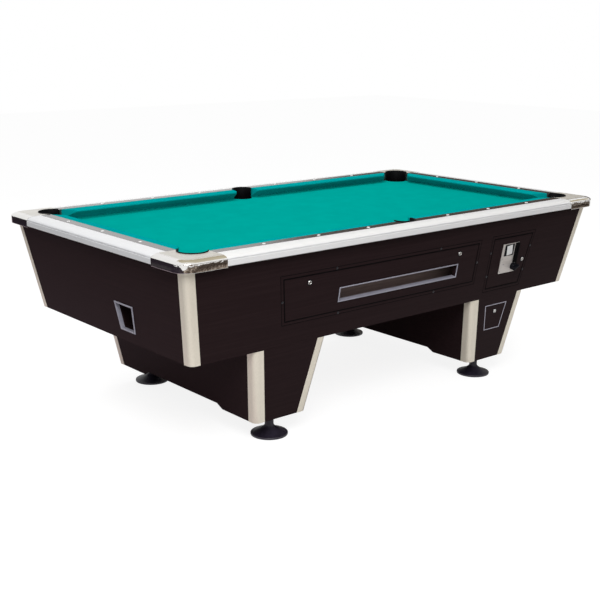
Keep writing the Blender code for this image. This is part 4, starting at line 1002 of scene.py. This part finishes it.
def bareLabel():
    wide, tall = mech["labelWide"] / 2, mech["labelHigh"] / 2
    piece = edit(block((-wide, -tall, 0), (wide, tall, mech["labelThick"])))
    pickEdges(piece, lambda a, b: (a.xy - b.xy).length < hair)
    roundPicked(mech["labelRound"], steps=4)
    closeShape()
    return place(piece, onFront(*mech["label"], mech["plateFace"] + mech["squareProud"], mech["labelTilt"]))


dress(coinChannel(), "coinChannel", "matBlack", body="coin_door")
piece = softEdges(onPlate(mech["square"], mech["squareProud"]), mech["squareEdge"])
dress(place(piece, frontFace), "labelBacking", "blackPlastic", body="coin_door")
dress(bareLabel(), "bareLabel", "blankLabel", body="coin_door")
for number, (x, height) in enumerate(mech["screws"]):
    matrix = onFront(x, height, mech["plateFace"], mech["screwTurn"] * number)
    piece = copyTo(screwMaster, matrix @ Matrix.Scale(mech["screwScale"], 4))
    dress(piece, "mechScrew_%d" % number, "brushedSteel", 30, "coin_door")
discard(screwMaster)

knob = {"shaft": 0.005, "shaftLow": -0.030, "base": 0.0033, "collar": 0.0168, "body": 0.0145, "top": 0.019,
        "collarEdge": ((0, 0.0014), (-0.001, 0.0020)), "bodyLow": 0.0024,
        "bodyEdge": ((-0.0006, -0.004), (-0.002, -0.0012), (-0.005, 0)),
        "gripLong": 0.0185, "gripHalf": 0.0052, "gripLow": 0.006, "gripTop": 0.030, "gripRound": 0.0028,
        "turn": -62}


def gripKnob():
    shaft, low, base, top = knob["shaft"], knob["shaftLow"], knob["base"], knob["top"]
    profile = [(0, low), (shaft, low), (shaft, base), (knob["collar"], base)]
    profile += stepped(knob["collar"], base, knob["collarEdge"]) + [(knob["body"], base + knob["bodyLow"])]
    profile += stepped(knob["body"], top, knob["bodyEdge"]) + [(0, top)]
    long, half = knob["gripLong"], knob["gripHalf"]
    grip = block((-half, -long, knob["gripLow"]), (half, long, knob["gripTop"]))
    softEdges(grip, knob["gripRound"], steps=4)
    return joined(turned(profile, sides=48), grip)


piece = place(gripKnob(), at(pivots["coin_knob"]) @ frontTurn @ turnZ(knob["turn"]))
dress(piece, "gripKnob", "blackPlastic", body="coin_knob", replaced="coin_knob")
print("front fittings done")


# Studio

studio = {"floor": 30.0, "floorGrey": 0.30, "floorGlow": 0.86, "bounce": 0.60, "ambient": 0.40}
white = (1, 1, 1, 1)


# One shader for what is seen straight or mirrored, the other for the rest of the light
def splitRays(material, rest, seen, output):
    path = addNode(material, "ShaderNodeLightPath").outputs
    mirrored = maths(material, "MAXIMUM", path["Is Glossy Ray"], path["Is Transmission Ray"])
    mix = addNode(material, "ShaderNodeMixShader")
    link(maths(material, "MAXIMUM", path["Is Camera Ray"], mirrored), mix.inputs[0])
    link(rest.outputs[0], mix.inputs[1])
    link(seen.outputs[0], mix.inputs[2])
    link(mix.outputs[0], material.node_tree.nodes[output].inputs["Surface"])


# Seen, the floor is white with a shadow; for other light it is a plain pale floor
def floorMaterial():
    material = newMaterial("paleFloor", (studio["bounce"],) * 3, 1.0, specular=0.0)
    grey = addNode(material, "ShaderNodeBsdfDiffuse", Color=(*(studio["floorGrey"],) * 3, 1))
    glow = addNode(material, "ShaderNodeEmission", Color=white, Strength=studio["floorGlow"])
    both = addNode(material, "ShaderNodeAddShader")
    link(grey.outputs[0], both.inputs[0])
    link(glow.outputs[0], both.inputs[1])
    splitRays(material, shaderOf(material), both, "Material Output")
    return material


deselect()
bpy.ops.mesh.primitive_plane_add(size=studio["floor"])
floor = bpy.context.object
floor.name = "studioFloor"
floor.data.materials.append(floorMaterial())

lamps = {"overhead": {"spot": (0.5, 1.1, 3.6), "target": (0, 0.1, 0.75), "energy": 46, "wide": 2.8,
                      "tall": 1.8, "mirrored": False},
         "frontLeft": {"spot": (-2.6, -3.2, 3.4), "target": (0, 0, 0.5), "energy": 124, "wide": 2.4,
                       "tall": 1.8, "mirrored": True}}


def hangLamp(name, spot, target, energy, wide, tall, mirrored):
    light = bpy.data.lights.new(name, "AREA")
    light.shape = "RECTANGLE"
    light.size, light.size_y, light.energy = wide, tall, energy
    holder = bpy.data.objects.new(name, light)
    bpy.context.scene.collection.objects.link(holder)
    holder.location = spot
    holder.rotation_euler = (Vector(target) - Vector(spot)).to_track_quat("-Z", "Y").to_euler()
    holder.visible_glossy = mirrored


for name, values in lamps.items():
    hangLamp(name, **values)

# Cards on the floor, seen only in reflections, paint the surroundings that the table mirrors, and the shade
# card paints the table's own shade under it: two corners and the tones of each
cards = {
    "front": ((-3.5, -7.0), (9.0, -1.15), [(0.40, (0.055, 0.040, 0.032)), (0.52, (0.24, 0.185, 0.15)),
                                           (0.64, (0.60, 0.53, 0.46))]),
    "left": ((-8.0, -2.0), (-1.60, 9.0), [(0.48, (0.040, 0.029, 0.042)), (0.66, (0.078, 0.069, 0.074))]),
    "side": ((-1.60, -0.60), (-0.70, 9.0), [(0.40, (0.96, 0.74, 0.84)), (0.60, (1.0, 0.80, 0.90))]),
    "shade": ((-0.45, -0.55), (0.45, 0.95), [(0.40, (0.03, 0.02, 0.025)), (0.60, (0.06, 0.045, 0.05))]),
}
cardLow, cardHigh, cardPatches = 0.002, 0.003, 0.9


def cardMaterial(name, stops):
    material = newMaterial(name, stops[0][1], 1.0, specular=0.0)
    colourBy(material, noise(material, even, cardPatches, detail=3), stops)
    return material


for name, (low, high, stops) in cards.items():
    card = block((*low, cardLow), (*high, cardHigh))
    card.name = "darkCard_" + name
    card.data.materials.append(cardMaterial("paintedReflection_" + name, stops))
    for rays in ("camera", "diffuse", "transmission", "shadow"):
        setattr(card, "visible_" + rays, False)

# The room that the chrome mirrors: bearings in degrees, heights as the upward part of a direction
room = {"from": -140, "fromSoft": 8, "to": 43.2, "toSoft": 1.5, "lean": 0.70,
        "glareFrom": 6, "glareTo": -10, "glareLow": 0.20, "glareHigh": 0.30,
        "ceilingLow": 0.83, "ceilingHigh": 0.89, "lightsScale": 7, "lightsFrom": 0.54, "lightsTo": 0.60,
        "tones": [(0.0, (0.26, 0.19, 0.15)), (0.10, (0.10, 0.080, 0.068)), (0.27, (0.085, 0.070, 0.060)),
                  (0.34, (1, 1, 1)), (0.42, (1, 1, 1)), (0.47, (0.48, 0.42, 0.30)),
                  (0.80, (0.62, 0.56, 0.43)), (0.97, (0.80, 0.74, 0.60))]}


# White for the camera; the room shows only in reflections
def mirroredRoom(world):
    direction = addNode(world, "ShaderNodeTexCoord").outputs["Generated"]
    parts = addNode(world, "ShaderNodeSeparateXYZ")
    link(direction, parts.inputs[0])
    height = parts.outputs["Z"]
    bearing = maths(world, "ARCTAN2", parts.outputs["Y"], parts.outputs["X"])
    leaning = maths(world, "MULTIPLY_ADD", height, -room["lean"], bearing)
    begins = softStep(world, bearing, radians(room["from"] - room["fromSoft"]), radians(room["from"]))
    ending = radians(room["to"] + room["toSoft"]), radians(room["to"] - room["toSoft"])
    inside = maths(world, "MINIMUM", begins, softStep(world, leaning, *ending))
    camera = addNode(world, "ShaderNodeLightPath").outputs["Is Camera Ray"]
    mirrored = maths(world, "SUBTRACT", inside, camera)
    mirrored.node.use_clamp = True
    glareSide = softStep(world, bearing, radians(room["glareFrom"]), radians(room["glareTo"]))
    glare = maths(world, "MINIMUM", glareSide, softStep(world, height, room["glareLow"], room["glareHigh"]))
    pattern = addNode(world, "ShaderNodeTexNoise", Scale=room["lightsScale"], Detail=1)
    link(direction, pattern.inputs["Vector"])
    ceiling = softStep(world, height, room["ceilingLow"], room["ceilingHigh"])
    spots = softStep(world, pattern.outputs["Fac"], room["lightsFrom"], room["lightsTo"])
    lights = maths(world, "MAXIMUM", glare, maths(world, "MINIMUM", ceiling, spots))
    tones = addNode(world, "ShaderNodeMix", data_type="RGBA", B=white)
    link(lights, tones.inputs["Factor"])
    link(ramp(world, height, room["tones"]), tones.inputs["A"])
    shown = addNode(world, "ShaderNodeMix", data_type="RGBA", A=white)
    link(mirrored, shown.inputs["Factor"])
    link(tones.outputs["Result"], shown.inputs["B"])
    return shown.outputs["Result"]


def studioWorld():
    world = bpy.data.worlds.new("studioWorld")
    world.use_nodes = True
    bpy.context.scene.world = world
    around = world.node_tree.nodes["Background"]
    around.inputs["Color"].default_value = white
    around.inputs["Strength"].default_value = studio["ambient"]
    seen = addNode(world, "ShaderNodeBackground", Color=white)
    link(mirroredRoom(world), seen.inputs["Color"])
    splitRays(world, around, seen, "World Output")


studioWorld()

view = {"azimuth": -40.203, "elevation": 14.344, "roll": 0.3, "lens": 63.85, "sensor": 36,
        "spot": (-3.0321, -3.4819, 1.5388)}


def photoCamera():
    data = bpy.data.cameras.new("photoCamera")
    data.lens, data.sensor_width = view["lens"], view["sensor"]
    camera = bpy.data.objects.new("photoCamera", data)
    bpy.context.scene.collection.objects.link(camera)
    azimuth, elevation = radians(view["azimuth"]), radians(view["elevation"])
    back = Vector((sin(azimuth) * cos(elevation), -cos(azimuth) * cos(elevation), sin(elevation)))
    right = Vector((cos(azimuth), sin(azimuth), 0))
    turn = Matrix((right, back.cross(right), back)).transposed().to_4x4()
    camera.matrix_world = at(view["spot"]) @ turn @ turnZ(view["roll"])
    bpy.context.scene.camera = camera


photoCamera()
bpy.context.scene.view_settings.view_transform = "Standard"
print("studio set")
